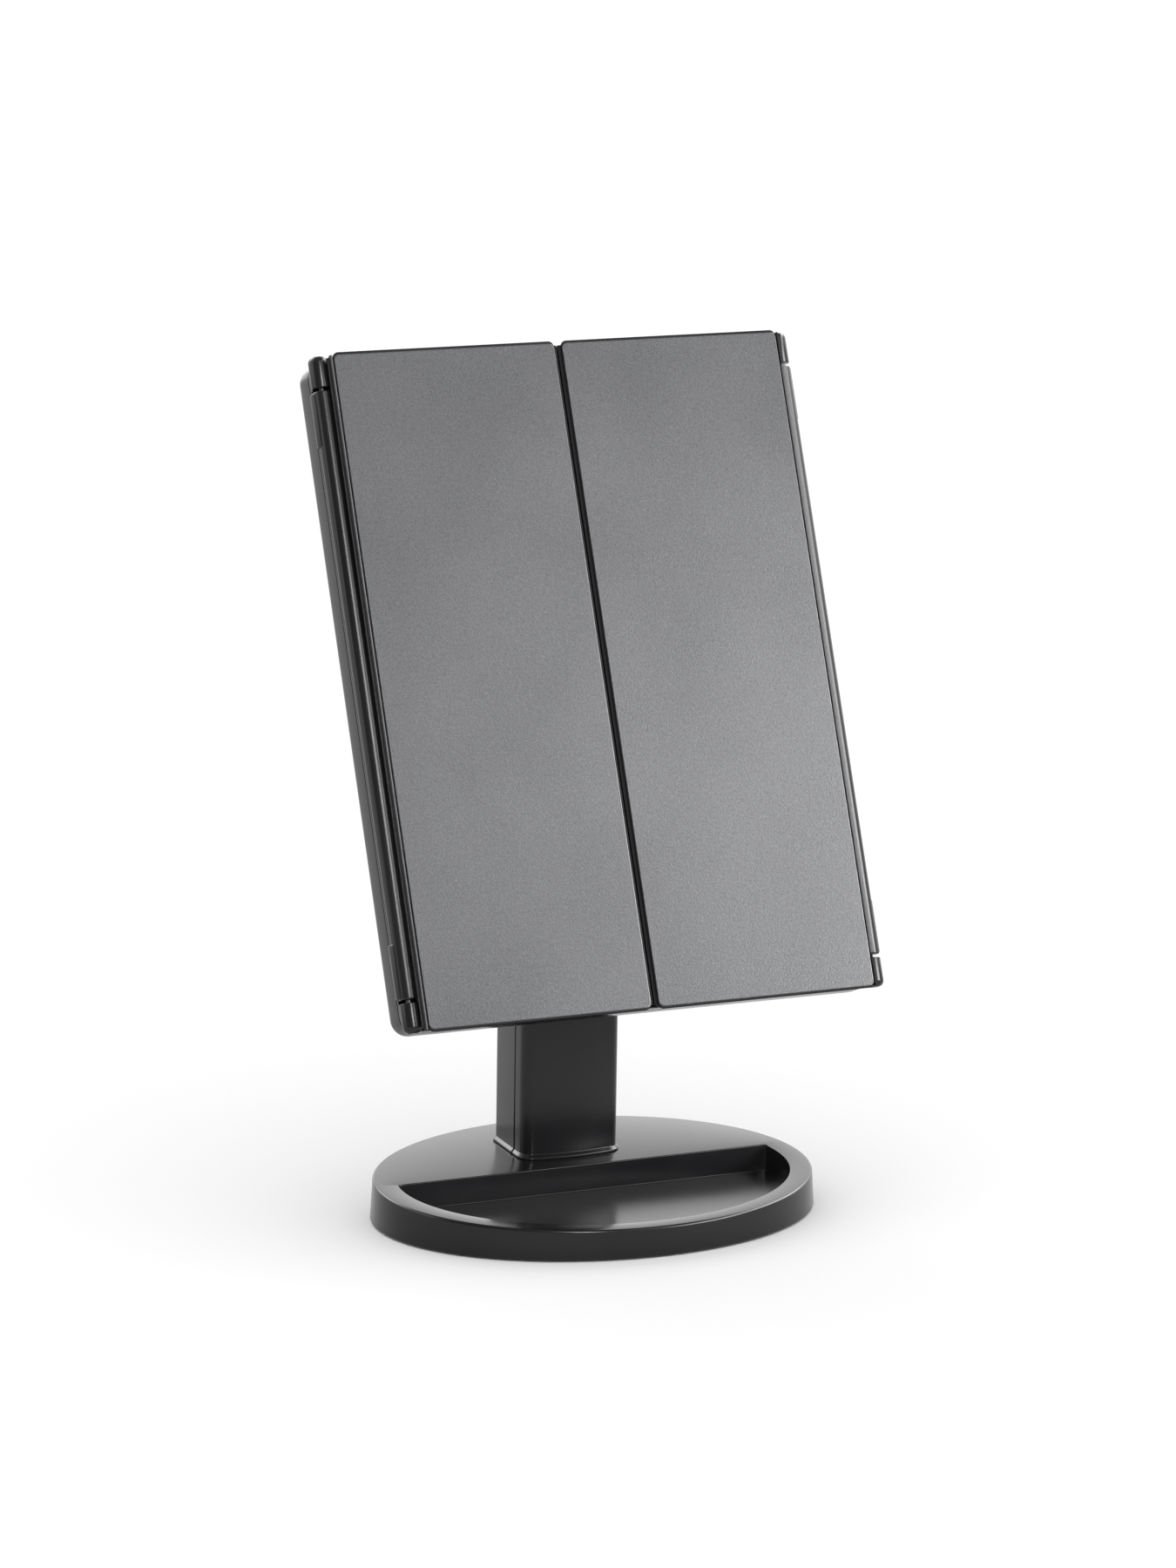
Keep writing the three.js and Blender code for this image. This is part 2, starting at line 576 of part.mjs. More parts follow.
function batteryDoor() {
  const w = bayHalfWidth + bay.doorLedge - gap;
  const [z1, z2] = [bayFloor - bay.doorLedge + gap, bayTop + bay.doorLedge - gap];
  const leaf = block(-w, w, stemBack - door.thickness, stemBack, z1, z2);
  const ribs = Array.from({ length: door.ribs }, (_, i) => {
    const top = z2 - (i + 1) * door.ribPitch;
    return block(-door.ribHalf, door.ribHalf, stemBack - door.thickness / 2, stemBack + door.ribProud,
      top - door.ribHeight, top);
  });
  return join(leaf, ...ribs);
}

function frictionWasher(side) {
  const inner = side * (pivot.neckHalfWidth + gap);
  const radius = pivot.eyeRadius - pivot.washerInset;
  const disc = rodAcross(radius, inner, inner + side * pivot.washer, axisY, axisZ, 24);
  return cut(disc, rodAcross(pivot.pinRadius + gap, -beyond, beyond, axisY, axisZ, 16));
}

function addColumn() {
  stand.add(named('stem_front', stemFrontShell(), satinBlack));
  stand.add(named('stem_back', stemBackShell(), satinBlack));
  stand.add(named('neck_block', neckBlock(), satinBlack));
  stand.add(named('contact_strip', springStrip(), steel));
  cellX.forEach((x, column) => {
    stand.add(named(`contact_button_${column + 1}`, buttonContact(x), steel));
    [0, 1].forEach((row) => {
      const z = bayFloor + bay.contactRoom + row * (cell.length + gap);
      stand.add(placed(named(`battery_${2 * column + row + 1}`, cellBody(), cellWrap), x, cellY, z));
    });
  });
  stand.add(named('switch_housing', toggleHousing(), glossBlack));
  stand.add(named('switch_knob', toggleKnob(), satinBlack));
  stand.add(named('battery_door', batteryDoor(), satinBlack));
  const pinHalf = stemHalfWidth - pivot.capDepth - gap;
  stand.add(named('tilt_pin', rodAcross(pivot.pinRadius, -pinHalf, pinHalf, axisY, axisZ, 24), steel));
  stand.add(named('friction_washer_left', frictionWasher(-1), steel));
  stand.add(named('friction_washer_right', frictionWasher(1), steel));
}

// ---------------------------------------------------------------- head
// Inside this group x runs across, y is the depth behind the wing faces, z rises from the lower edge.
const tilting = new THREE.Group();
tilting.position.set(0, axisY, axisZ);
tilting.rotation.x = -head.tilt;
const face = new THREE.Group();
face.position.set(0, -axisDepth, -head.pivotRise);
tilting.add(face);
mirror.add(tilting);

// The head's outline, rounded on its rear edges and corners, from the bezel's front backwards.
function headOutline(inset, radius, steps) {
  const deep = 2 * (head.depth - inset - bezelFront);
  const [wide, high] = [2 * (head.halfWidth - inset), head.height - 2 * inset];
  const geometry = new RoundedBoxGeometry(wide, deep, high, steps, radius);
  return solid(geometry.translate(0, bezelFront, head.height / 2));
}

// One end of the hinge barrel, which belongs to the head.
function knuckle(side, top) {
  const { knuckle: length, radius, edge } = hinge;
  const geometry = turned([[0, 0], [radius - edge, 0], [radius, edge], [radius, length], [0, length]], 24);
  if (top) geometry.rotateX(Math.PI);
  return solid(geometry.translate(side * hingeX, hingeDepth, top ? head.height : 0));
}

function lampWindow(side) {
  const outline = roundedRectangle(side * (lampX - lamp.halfWidth), side * (lampX + lamp.halfWidth),
    lamp.border, head.height - lamp.border, lamp.cornerRadius);
  return panel(outline, 0, beyond);
}

// Room behind the wing's barrel, and the two holes for its pins.
function hingeRelief(side) {
  const reach = hinge.radius - lug.thinner + Math.hypot(lug.out, lug.back) + runningGap;
  return rodUp(reach, side * hingeX, hingeDepth, hinge.knuckle, head.height - hinge.knuckle);
}

function pinBores(side, inner, depth) {
  const radius = hinge.pinRadius + gap;
  return [rodUp(radius, side * hingeX, hingeDepth, inner, inner + depth, 16),
    rodUp(radius, side * hingeX, hingeDepth, head.height - inner - depth, head.height - inner, 16)];
}

function bezel() {
  const slab = common(cut(headOutline(0, head.edgeRadius, 3), nearer(bezelFront)), nearer(bezelBack));
  const { border, cornerRadius } = centreGlass;
  const w = paneHalfWidth + gap;
  const pocket = panel(roundedRectangle(-w, w, border - gap, head.height - border + gap, cornerRadius + gap),
    0, paneBack + gap);
  const wiring = block(-bracket.halfWidth, bracket.halfWidth, 0, beyond,
    head.pivotRise - beyond, head.pivotRise + beyond);
  const padHole = rodBack(touch.radius + 2 * runningGap, 0, 0, beyond, border + touch.rise);
  const windows = [lampWindow(-1), lampWindow(1)];
  const reliefs = [hingeRelief(-1), hingeRelief(1)];
  const knuckles = [-1, 1].flatMap((side) => [knuckle(side, false), knuckle(side, true)]);
  const depth = hinge.pinGrip + gap;
  const bores = [-1, 1].flatMap((side) => pinBores(side, hinge.knuckle - depth, depth + 1));
  const threads = postPlaces.map(([x, z]) => rodBack(boreRadius, x, bezelFront + screw.point, beyond, z, 16));
  const bars = join(cut(slab, ...reliefs), ...knuckles);
  return cut(bars, pocket, wiring, padHole, ...windows, ...bores, ...threads);
}

function rearCover() {
  const outer = common(headOutline(0, head.edgeRadius, 3), farther(coverFront));
  const shell = cut(outer, headOutline(head.wall, head.edgeRadius - head.wall, 2));
  const [rear, outside] = [head.depth - head.wall / 2, head.depth + beyond];
  const posts = postPlaces.map(([x, z]) => rodBack(post.radius, x, coverFront, rear, z));
  const padFront = rear - bracket.screwLength;
  const pads = bracketScrewPlaces.map(([x, z]) => rodBack(post.radius, x, padFront, rear, z));
  const boardPosts = boardCorners.map(([x, z]) => rodBack(board.postRadius, x,
    boardDepth + board.thickness + gap, rear, z, 16));
  const sinks = postPlaces.map(([x, z]) => rodBack(sinkRadius, x, head.depth - post.sink, outside, z));
  const holes = postPlaces.map(([x, z]) => rodBack(boreRadius, x, 0, outside, z, 16));
  const bores = bracketScrewPlaces.map(([x, z]) => rodBack(boreRadius, x,
    padFront + screw.point, outside, z, 16));
  const wiring = rodBack(cable.radius, 0, head.depth - 2 * head.wall, outside, head.pivotRise);
  return cut(join(shell, ...posts, ...pads, ...boardPosts), ...sinks, ...holes, ...bores, wiring);
}

function controlBoard() {
  const { halfWidth: w, low, high, thickness } = board;
  const sheet = block(-w, w, boardDepth, boardDepth + thickness, low, high);
  const parts = chips.map(([x, z, size]) => block(x - size / 2, x + size / 2, boardDepth - thickness,
    boardDepth + thickness / 2, z - size / 2, z + size / 2));
  return join(sheet, ...parts);
}

function ledBoard(side) {
  const front = coverFront + strip.setBack;
  const [z1, z2] = [lamp.border + strip.short, head.height - lamp.border - strip.short];
  const sheet = block(side * (lampX - lamp.halfWidth), side * (lampX + lamp.halfWidth),
    front, front + strip.thickness, z1, z2);
  const [w, h, pitch] = [strip.chipHalfWidth, strip.chipHalfHeight, (z2 - z1) / strip.chips];
  const lights = Array.from({ length: strip.chips }, (_, i) => {
    const z = z1 + (i + 0.5) * pitch;
    return block(side * lampX - w, side * lampX + w, front - strip.chipHeight, front + strip.thickness / 2,
      z - h, z + h);
  });
  return join(sheet, ...lights);
}

function diffuser(side) {
  const near = bezelFront + gap;
  const w = lamp.halfWidth - gap;
  const outline = roundedRectangle(side * (lampX - w), side * (lampX + w),
    lamp.border + gap, head.height - lamp.border - gap, lamp.cornerRadius - gap);
  return panel(outline, near, near + lamp.depth, lamp.edge);
}

function centrePane() {
  const { border, cornerRadius, edge } = centreGlass;
  const outline = roundedRectangle(-paneHalfWidth, paneHalfWidth, border, head.height - border, cornerRadius);
  return panel(outline, bezelFront + centreGlass.sunk, paneBack, edge);
}

function tiltBracket() {
  const near = head.depth + gap;
  const { halfWidth: w, below, above, thickness, cornerRadius } = bracket;
  const r = pivot.eyeRadius;
  const outline = roundedRectangle(-w, w, head.pivotRise - below, head.pivotRise + above, cornerRadius);
  const foot = panel(outline, near, near + thickness, gap);
  const inner = pivot.neckHalfWidth + 2 * gap + pivot.washer;
  const ears = [-1, 1].flatMap((side) => [
    block(side * inner, side * stemHalfWidth, near + thickness / 2, axisDepth,
      head.pivotRise - r, head.pivotRise + r),
    rodAcross(r, side * inner, side * stemHalfWidth, axisDepth, head.pivotRise)]);
  const seatInner = stemHalfWidth - pivot.capDepth;
  const capSeats = [-1, 1].map((side) => rodAcross(pivot.capRadius + gap, side * seatInner,
    side * (stemHalfWidth + beyond), axisDepth, head.pivotRise));
  const pinBore = rodAcross(pivot.pinRadius + gap, -everywhere, everywhere, axisDepth, head.pivotRise, 24);
  const holes = bracketScrewPlaces.map(([x, z]) => rodBack(boreRadius, x, 0, axisDepth, z, 16));
  const wiring = rodBack(cable.radius, 0, 0, axisDepth, head.pivotRise);
  return cut(join(foot, ...ears), ...capSeats, pinBore, ...holes, wiring);
}

// A screw driven forwards into the head, its head's underside at the given depth.
function headScrew(name, x, depth, z, length) {
  const mesh = named(name, screwSolid(length), steel);
  mesh.rotation.x = Math.PI / 2;
  return placed(mesh, x, depth, z);
}

function hingePin(side, near, far) {
  return rodUp(hinge.pinRadius, side * hingeX, hingeDepth, near, far, 16);
}

function addHeadSide(side, word) {
  face.add(named(`light_strip_${word}`, diffuser(side), frosted));
  face.add(named(`led_board_${word}`, ledBoard(side), boardWhite));
  const capInner = side * (stemHalfWidth - pivot.capDepth + gap);
  const cap = rodAcross(pivot.capRadius, capInner, side * stemHalfWidth, axisDepth, head.pivotRise);
  face.add(named(`pin_cap_${word}`, cap, satinBlack));
  const [from, to] = [hinge.knuckle - hinge.pinGrip, barrelEnd + hinge.pinGrip];
  face.add(named(`hinge_pin_${word}_lower`, hingePin(side, from, to), steel));
  face.add(named(`hinge_pin_${word}_upper`, hingePin(side, head.height - to, head.height - from), steel));
}

function addHead() {
  face.add(named('head_bezel', bezel(), satinBlack));
  face.add(named('head_rear_cover', rearCover(), satinBlack));
  face.add(named('centre_mirror', centrePane(), silvered));
  const pad = rodBack(touch.radius, 0, paneBack + gap, paneBack + gap + touch.thickness,
    centreGlass.border + touch.rise, 32);
  face.add(named('touch_pad', pad, copper));
  face.add(named('control_board', controlBoard(), boardGreen));
  addHeadSide(-1, 'left');
  addHeadSide(1, 'right');
  face.add(named('tilt_bracket', tiltBracket(), satinBlack));
  const coverSeat = head.depth - post.sink + gap;
  postPlaces.forEach(([x, z], i) => {
    face.add(headScrew(`cover_screw_${i + 1}`, x, coverSeat, z, coverSeat - bezelFront - 2 * screw.point));
  });
  const bracketSeat = head.depth + 2 * gap + bracket.thickness;
  const bracketScrewLength = bracketSeat - head.depth + bracket.screwLength - 2 * screw.point;
  bracketScrewPlaces.forEach(([x, z], i) => {
    face.add(headScrew(`bracket_screw_${i + 1}`, x, bracketSeat, z, bracketScrewLength));
  });
}

// ---------------------------------------------------------------- wings
// How far from the middle each part of a wing lies.
const coverX = hingeX - wing.coverStop;
const lipX = hingeX - wing.lipStop;
const frameX = hingeX - hinge.radius - gap;

// The glass panes of a wing, as [lower height, upper height], one or two of them.
function paneSpans(count) {
  const [low, high] = [glass.border, head.height - glass.border];
  const each = (high - low - (count - 1) * glass.rib) / count;
  return Array.from({ length: count }, (_, i) => {
    const start = low + i * (each + glass.rib);
    return [start, start + each];
  });
}

function wingCover(side) {
  const outline = roundedRectangle(side * wing.halfSlit, side * coverX, 0, head.height, wing.cornerRadius);
  return panel(outline, 0, wing.cover, wing.coverEdge);
}

// A pane's outline in its wing, grown by the given slack.
function paneOutline(side, [z1, z2], slack) {
  const [inner, outer] = [wing.halfSlit + glass.border - slack, frameX - glass.border + slack];
  return roundedRectangle(side * inner, side * outer, z1 - slack, z2 + slack, glass.cornerRadius + slack);
}

// The rim that the wing's hinge edge wraps round: a flange, and a lip standing beside the cover.
function hingeRim(side, near, low, high) {
  const { step, flange, flangeReach, lip } = wing;
  const plate = block(side * (frameX - flangeReach), side * (lipX - step), near + step, near + flange,
    low + 2 * step, high - 2 * step);
  return join(plate, block(side * (lipX - lip), side * lipX, step, near + flange / 2, low, high));
}

function barrel(side, near) {
  const { step, thickness } = wing;
  const web = block(side * (frameX - 1), side * (lipX - 2 * step), near + 2 * step, thickness - step,
    barrelEnd, head.height - barrelEnd);
  const rod = rodUp(hinge.radius, side * hingeX, hingeDepth, barrelEnd, head.height - barrelEnd);
  const low = barrelEnd + lug.setBack;
  const lugs = [low, head.height - low - lug.length].map((z) => rodUp(hinge.radius - lug.thinner,
    side * (hingeX + lug.out), hingeDepth + lug.back, z, z + lug.length, 20));
  return join(web, rod, ...lugs);
}

function wingFrame(side, spans) {
  const near = wing.cover + gap;
  const [low, high] = [wing.inset, head.height - wing.inset];
  const inner = side * (wing.halfSlit + wing.inset);
  const outline = roundedRectangle(inner, side * frameX, low, high, wing.cornerRadius);
  const body = join(panel(outline, near, wing.thickness), hingeRim(side, near, low, high));
  const clear = hinge.radius + runningGap;
  const reliefs = [[low - beyond, barrelEnd], [head.height - barrelEnd, high + beyond]]
    .map(([z1, z2]) => rodUp(clear, side * hingeX, hingeDepth, z1, z2));
  const floor = wing.thickness - glass.sunk - glass.thickness - gap;
  const pockets = spans.map((span) => panel(paneOutline(side, span, gap), floor, wing.thickness + beyond));
  const bores = pinBores(side, barrelEnd - 1, hinge.pinGrip + gap + 1);
  return cut(join(cut(body, ...reliefs), barrel(side, near)), ...bores, ...pockets);
}

function wingPane(side, span) {
  const back = wing.thickness - glass.sunk;
  return panel(paneOutline(side, span, 0), back - glass.thickness, back, glass.edge);
}

function addWing(side, word, paneNames) {
  const spans = paneSpans(paneNames.length);
  face.add(named(`${word}_wing_frame`, wingFrame(side, spans), glossBlack));
  face.add(named(`${word}_wing_cover`, wingCover(side), grainedBlack));
  spans.forEach((span, i) => {
    face.add(named(`${word}_wing_${paneNames[i]}`, wingPane(side, span), silvered));
  });
}

addBase();
addColumn();
addHead();
addWing(-1, 'left', ['mirror_lower', 'mirror_upper']);
addWing(1, 'right', ['mirror']);

// The origin is on the table under the middle of the whole object.
const bounds = new THREE.Box3().setFromObject(mirror, true);
mirror.position.y = -(bounds.min.y + bounds.max.y) / 2;

export default mirror;
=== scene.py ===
# %% [markdown]
# # A lighted countertop mirror, closed
#
# The object is a folding vanity mirror. A flat head carries a lit centre mirror behind two wings that
# close over it like doors. The head tilts on a short neck at the top of a column, the column holds four
# battery cells, and its oval base has a tray for small things. Everything is black moulded plastic, and
# what makes it look real is the edges: thin rounded corners that catch the light, narrow gaps between
# mouldings, a fine spark-eroded grain on the covers and a glossy hinge barrel beside them.
#
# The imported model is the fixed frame. It says where every piece sits, so sizes are read from it.

# %% Load the frame and keep its box
import json
import math
import bmesh
import bpy
from mathutils import Matrix, Vector


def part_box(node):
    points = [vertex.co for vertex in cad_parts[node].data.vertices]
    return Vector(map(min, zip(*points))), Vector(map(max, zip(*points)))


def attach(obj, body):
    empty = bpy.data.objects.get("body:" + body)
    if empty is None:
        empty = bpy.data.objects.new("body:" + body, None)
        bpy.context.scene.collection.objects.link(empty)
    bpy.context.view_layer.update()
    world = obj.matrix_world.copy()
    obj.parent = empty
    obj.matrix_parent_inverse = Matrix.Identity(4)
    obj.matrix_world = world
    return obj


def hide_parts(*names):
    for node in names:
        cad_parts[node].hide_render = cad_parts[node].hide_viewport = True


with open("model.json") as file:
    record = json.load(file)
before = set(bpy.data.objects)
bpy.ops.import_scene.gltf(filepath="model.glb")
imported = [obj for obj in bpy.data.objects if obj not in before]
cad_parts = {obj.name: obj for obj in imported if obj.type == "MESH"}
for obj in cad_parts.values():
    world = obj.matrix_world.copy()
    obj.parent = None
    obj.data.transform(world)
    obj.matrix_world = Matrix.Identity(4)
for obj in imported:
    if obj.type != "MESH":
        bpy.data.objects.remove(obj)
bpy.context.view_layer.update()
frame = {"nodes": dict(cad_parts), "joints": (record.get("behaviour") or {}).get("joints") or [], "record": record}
MM = 0.001
nodes = frame["nodes"]
joints = {joint["name"]: joint for joint in frame["joints"]}

# %% [markdown]
# ## Two places to build in
#
# The base and the column stand upright, so they are modelled straight in the row's own frame. The head
# leans back, and nobody wants to model a leaning box. So the head's pieces are modelled in the panel's
# own frame: x across, y the depth behind the wing faces, z up the panel, with its zero on the tilt axis.
# One matrix, made from the joints, then carries a finished mesh to its place, and its object stays at
# the origin.

# %% The panel's own frame
tilt_point = Vector(joints["head_tilt"]["pos_m"])
up_panel = Vector(joints["right_wing_hinge"]["axis"]).normalized()
across = Vector((1, 0, 0))
into_panel = up_panel.cross(across)
PANEL = Matrix.Translation(tilt_point) @ Matrix((across, into_panel, up_panel)).transposed().to_4x4()
UPRIGHT = Matrix.Identity(4)
to_panel = PANEL.inverted()


def panel_box(node):
    """Lowest and highest corner of a CAD node, measured in the panel's frame."""
    corners = [to_panel @ vertex.co for vertex in nodes[node].data.vertices]
    return (Vector([min(c[i] for c in corners) for i in range(3)]),
            Vector([max(c[i] for c in corners) for i in range(3)]))


hinge_at = to_panel @ Vector(joints["right_wing_hinge"]["pos_m"])
print("hinge barrels at x", round(hinge_at.x / MM, 2), "depth", round(hinge_at.y / MM, 2), "mm")

# %% [markdown]
# ## Building blocks
#
# Three shapes make nearly every moulding here: a stack of outlines joined into a skin, a plate whose
# edges are rounded by shrinking its outline step by step, and a turned rod with rounded ends. Rounding
# the edges while building, rather than bevelling afterwards, keeps each highlight even and clean.

# %% Outlines and skins
SQUARE = 0.00001  # the radius of a corner that is left square
WELD = 0.000002  # points closer than this become one


def arc(cx, cy, radius, start, end, steps):
    """Points on part of a circle, between two angles in degrees."""
    angles = [math.radians(start + (end - start) * i / steps) for i in range(steps + 1)]
    return [(cx + radius * math.cos(a), cy + radius * math.sin(a)) for a in angles]


def rounded_outline(x1, x2, z1, z2, radius, steps):
    """A rounded rectangle as points (x, z), anticlockwise."""
    radius = max(radius, SQUARE)
    points = []
    for cx, cz, start in [(x2 - radius, z2 - radius, 0), (x1 + radius, z2 - radius, 90),
                          (x1 + radius, z1 + radius, 180), (x2 - radius, z1 + radius, 270)]:
        points += arc(cx, cz, radius, start, start + 90, steps)
    return points


def skin(rings):
    """A closed skin over a stack of rings of points, each ring with as many points as the next."""
    bm = bmesh.new()
    loops = [[bm.verts.new(point) for point in ring] for ring in rings]
    count = len(loops[0])
    for low, high in zip(loops, loops[1:]):
        for i in range(count):
            j = (i + 1) % count
            bm.faces.new((low[i], low[j], high[j], high[i]))
    bm.faces.new(loops[0])
    bm.faces.new(loops[-1])
    bmesh.ops.remove_doubles(bm, verts=bm.verts, dist=WELD)
    bmesh.ops.dissolve_degenerate(bm, edges=bm.edges, dist=WELD)
    bmesh.ops.recalc_face_normals(bm, faces=bm.faces)
    return bm


def edge_steps(edge, steps=4):
    """(inset, rise) pairs that round an edge, from the face round to the side."""
    angles = [math.radians(90 * i / steps) for i in range(steps + 1)]
    return [(edge * (1 - math.sin(a)), edge * (1 - math.cos(a))) for a in angles]


# %% Plates and rods
ROD_STEPS = 5


def plate(low, high, corner, front_edge, back_edge=None, steps=8, edge_detail=4):
    """A plate between two corners, its outline in x and z, its thickness along y, its edges rounded."""
    back_edge = front_edge if back_edge is None else back_edge

    def ring(inset, y):
        outline = rounded_outline(low[0] + inset, high[0] - inset, low[2] + inset, high[2] - inset,
                                  corner - inset, steps)
        return [(x, y, z) for x, z in outline]

    front = [ring(inset, low[1] + rise) for inset, rise in edge_steps(front_edge, edge_detail)]
    back = [ring(inset, high[1] - rise) for inset, rise in reversed(edge_steps(back_edge, edge_detail))]
    return skin(front + back)


def rim(radius, edge, steps=4):
    """(radius, rise) pairs that round the rim of a turned shape."""
    return [(radius - inset, rise) for inset, rise in edge_steps(edge, steps)]


def turned(profile, place, sides=48):
    """A turned solid: profile points are (radius, height) along z, and place carries it there."""
    angles = [2 * math.pi * i / sides for i in range(sides)]
    return skin([[place @ Vector((radius * math.cos(a), radius * math.sin(a), height)) for a in angles]
                 for radius, height in profile])


def rod(radius, start, end, edge, sides=48, far_edge=None):
    """A round rod from start to end with rounded rims. The far rim may have a radius of its own."""
    along = Vector(end) - Vector(start)
    place = Matrix.Translation(Vector(start)) @ along.to_track_quat("Z", "Y").to_matrix().to_4x4()
    far_rim = rim(radius, edge if far_edge is None else far_edge, ROD_STEPS)
    high = [(r, along.length - rise) for r, rise in reversed(far_rim)]
    return turned(rim(radius, edge, ROD_STEPS) + high, place, sides)


# %% [markdown]
# ## Joining and cutting
#
# A moulding is a sum of such shapes less a few pockets. The boolean solver works on whole objects, so
# each shape becomes an object for a moment, and only the result is kept.

# %% Booleans
def linked(name, data):
    """A new object with the given data, placed in the scene."""
    made = bpy.data.objects.new(name, data)
    bpy.context.scene.collection.objects.link(made)
    return made


def as_object(bm, name="shape"):
    mesh = bpy.data.meshes.new(name)
    bm.to_mesh(mesh)
    bm.free()
    return linked(name, mesh)


def result_of(target, *helpers):
    """The target's mesh after its modifiers, as a bmesh. The target and its helpers are removed."""
    evaluated = target.evaluated_get(bpy.context.evaluated_depsgraph_get())
    result = bmesh.new()
    result.from_mesh(bpy.data.meshes.new_from_object(evaluated))
    for used in (target, *helpers):
        bpy.data.objects.remove(used)
    return result


def boolean(first, others, operation):
    """first joined with, cut by or kept inside the others, as a new bmesh."""
    target = as_object(first)
    tools = [as_object(other) for other in others]
    for tool in tools:
        modifier = target.modifiers.new("boolean", "BOOLEAN")
        modifier.operation = operation
        modifier.solver = "MANIFOLD"
        modifier.object = tool
    return result_of(target, *tools)


def joined(first, *others):
    return boolean(first, others, "UNION")


def cut(first, *others):
    return boolean(first, others, "DIFFERENCE")


def block(low, high):
    return plate(low, high, SQUARE, SQUARE, steps=1, edge_detail=1)


# %% Finished pieces
def smooth_by_angle(mesh, degrees, flat_area):
    """Smooth shading, with sharp edges and the rims of faces larger than flat_area kept crisp."""
    for polygon in mesh.polygons:
        polygon.use_smooth = True
    bm = bmesh.new()
    bm.from_mesh(mesh)
    for edge in bm.edges:
        gentle = len(edge.link_faces) == 2 and edge.calc_face_angle(0) < math.radians(degrees)
        edge.smooth = gentle and max(face.calc_area() for face in edge.link_faces) < flat_area
    bm.to_mesh(mesh)
    bm.free()


def piece(name, bm, body, finish, stands_for=(), degrees=32, flat_area=1.0):
    """A finished mesh on its body, in a material. Upright bodies are already in place."""
    material, slot = finish
    bm.transform(UPRIGHT if body in ("stand", "battery_door") else PANEL)
    made = as_object(bm, name)
    smooth_by_angle(made.data, degrees, flat_area)
    made.data.materials.clear()
    made.data.materials.append(material)
    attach(made, body)
    if stands_for:
        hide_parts(*stands_for)
    print(name, len(made.data.polygons), "faces")
    return made


# %% [markdown]
# ## Finishes
#
# Moulded plastic is never one flat colour. A spark-eroded mould leaves a fine pebbled grain, a polished
# mould leaves a gloss with a slight waviness, and handling leaves soft patches where the sheen changes.
# One function makes all the plastics: a fine noise drives the bump, a broad noise shifts the roughness
# and the colour a little. Both read Object coordinates, so the pattern stays on the piece as it moves.

# %% Nodes of a material
NOISE_LOW, NOISE_HIGH = 0.3, 0.7  # a noise seldom leaves this range
BLEND_LOW, BLEND_HIGH = 0.35, 0.65  # where a blend of two colours starts and ends


def feed(tree, target, inputs):
    """Sets inputs by name. A number or a colour is set, and another node's output is linked."""
    for name, value in inputs.items():
        if isinstance(value, bpy.types.NodeSocket):
            tree.links.new(value, target.inputs[name])
        else:
            target.inputs[name].default_value = value


def add_node(tree, kind, inputs, **settings):
    made = tree.nodes.new(kind)
    for name, value in settings.items():
        setattr(made, name, value)
    feed(tree, made, inputs)
    return made


def noise(tree, scale, detail, roughness=0.5):
    where = add_node(tree, "ShaderNodeTexCoord", {}).outputs["Object"]
    inputs = {"Vector": where, "Scale": scale, "Detail": detail, "Roughness": roughness}
    return add_node(tree, "ShaderNodeTexNoise", inputs).outputs["Fac"]


def spread(tree, value, low, high):
    """A noise value, which stays near a half, stretched to run from low to high."""
    inputs = {"Value": value, "From Min": NOISE_LOW, "From Max": NOISE_HIGH, "To Min": low, "To Max": high}
    return add_node(tree, "ShaderNodeMapRange", inputs).outputs["Result"]


def two_colours(tree, value, first, second):
    ramp = add_node(tree, "ShaderNodeValToRGB", {"Fac": value})
    start, end = ramp.color_ramp.elements
    start.position, end.position = BLEND_LOW, BLEND_HIGH
    start.color, end.color = (*first, 1), (*second, 1)
    return ramp.outputs["Color"]


def bumped(tree, shader, value, strength, depth):
    bump = add_node(tree, "ShaderNodeBump", {"Height": value, "Strength": strength, "Distance": depth})
    feed(tree, shader, {"Normal": bump.outputs["Normal"]})


def finish_of(name):
    """A new material with its node tree and its main shader."""
    made = bpy.data.materials.new(name)
    made.use_nodes = True
    return made, made.node_tree, made.node_tree.nodes["Principled BSDF"]


# %% Plastics and metals
PATCH_SCALE, PATCH_DETAIL = 22, 3  # the soft patches that handling leaves
PATCH_CHANGE = 0.03
PLASTIC_IOR = 1.4


def moulded(name, dark, light, roughness, grain, depth, more=None, pebbled=False):
    """A moulded, cast or plated surface: grain is the size of its texture in metres, depth its height.
    On a pebbled surface each grain differs a little in tone. On others only the soft patches do."""
    made, tree, shader = finish_of(name)
    broad = noise(tree, PATCH_SCALE, PATCH_DETAIL)
    fine = noise(tree, 1 / grain, 2, 0.7 if pebbled else 0.6)
    sheen = spread(tree, broad, roughness - PATCH_CHANGE, roughness + PATCH_CHANGE)
    feed(tree, shader, {"Base Color": two_colours(tree, fine if pebbled else broad, dark, light),
                        "Roughness": sheen, "IOR": PLASTIC_IOR, **(more or {})})
    bumped(tree, shader, fine, 0.6 if pebbled else 0.5, depth)
    return made


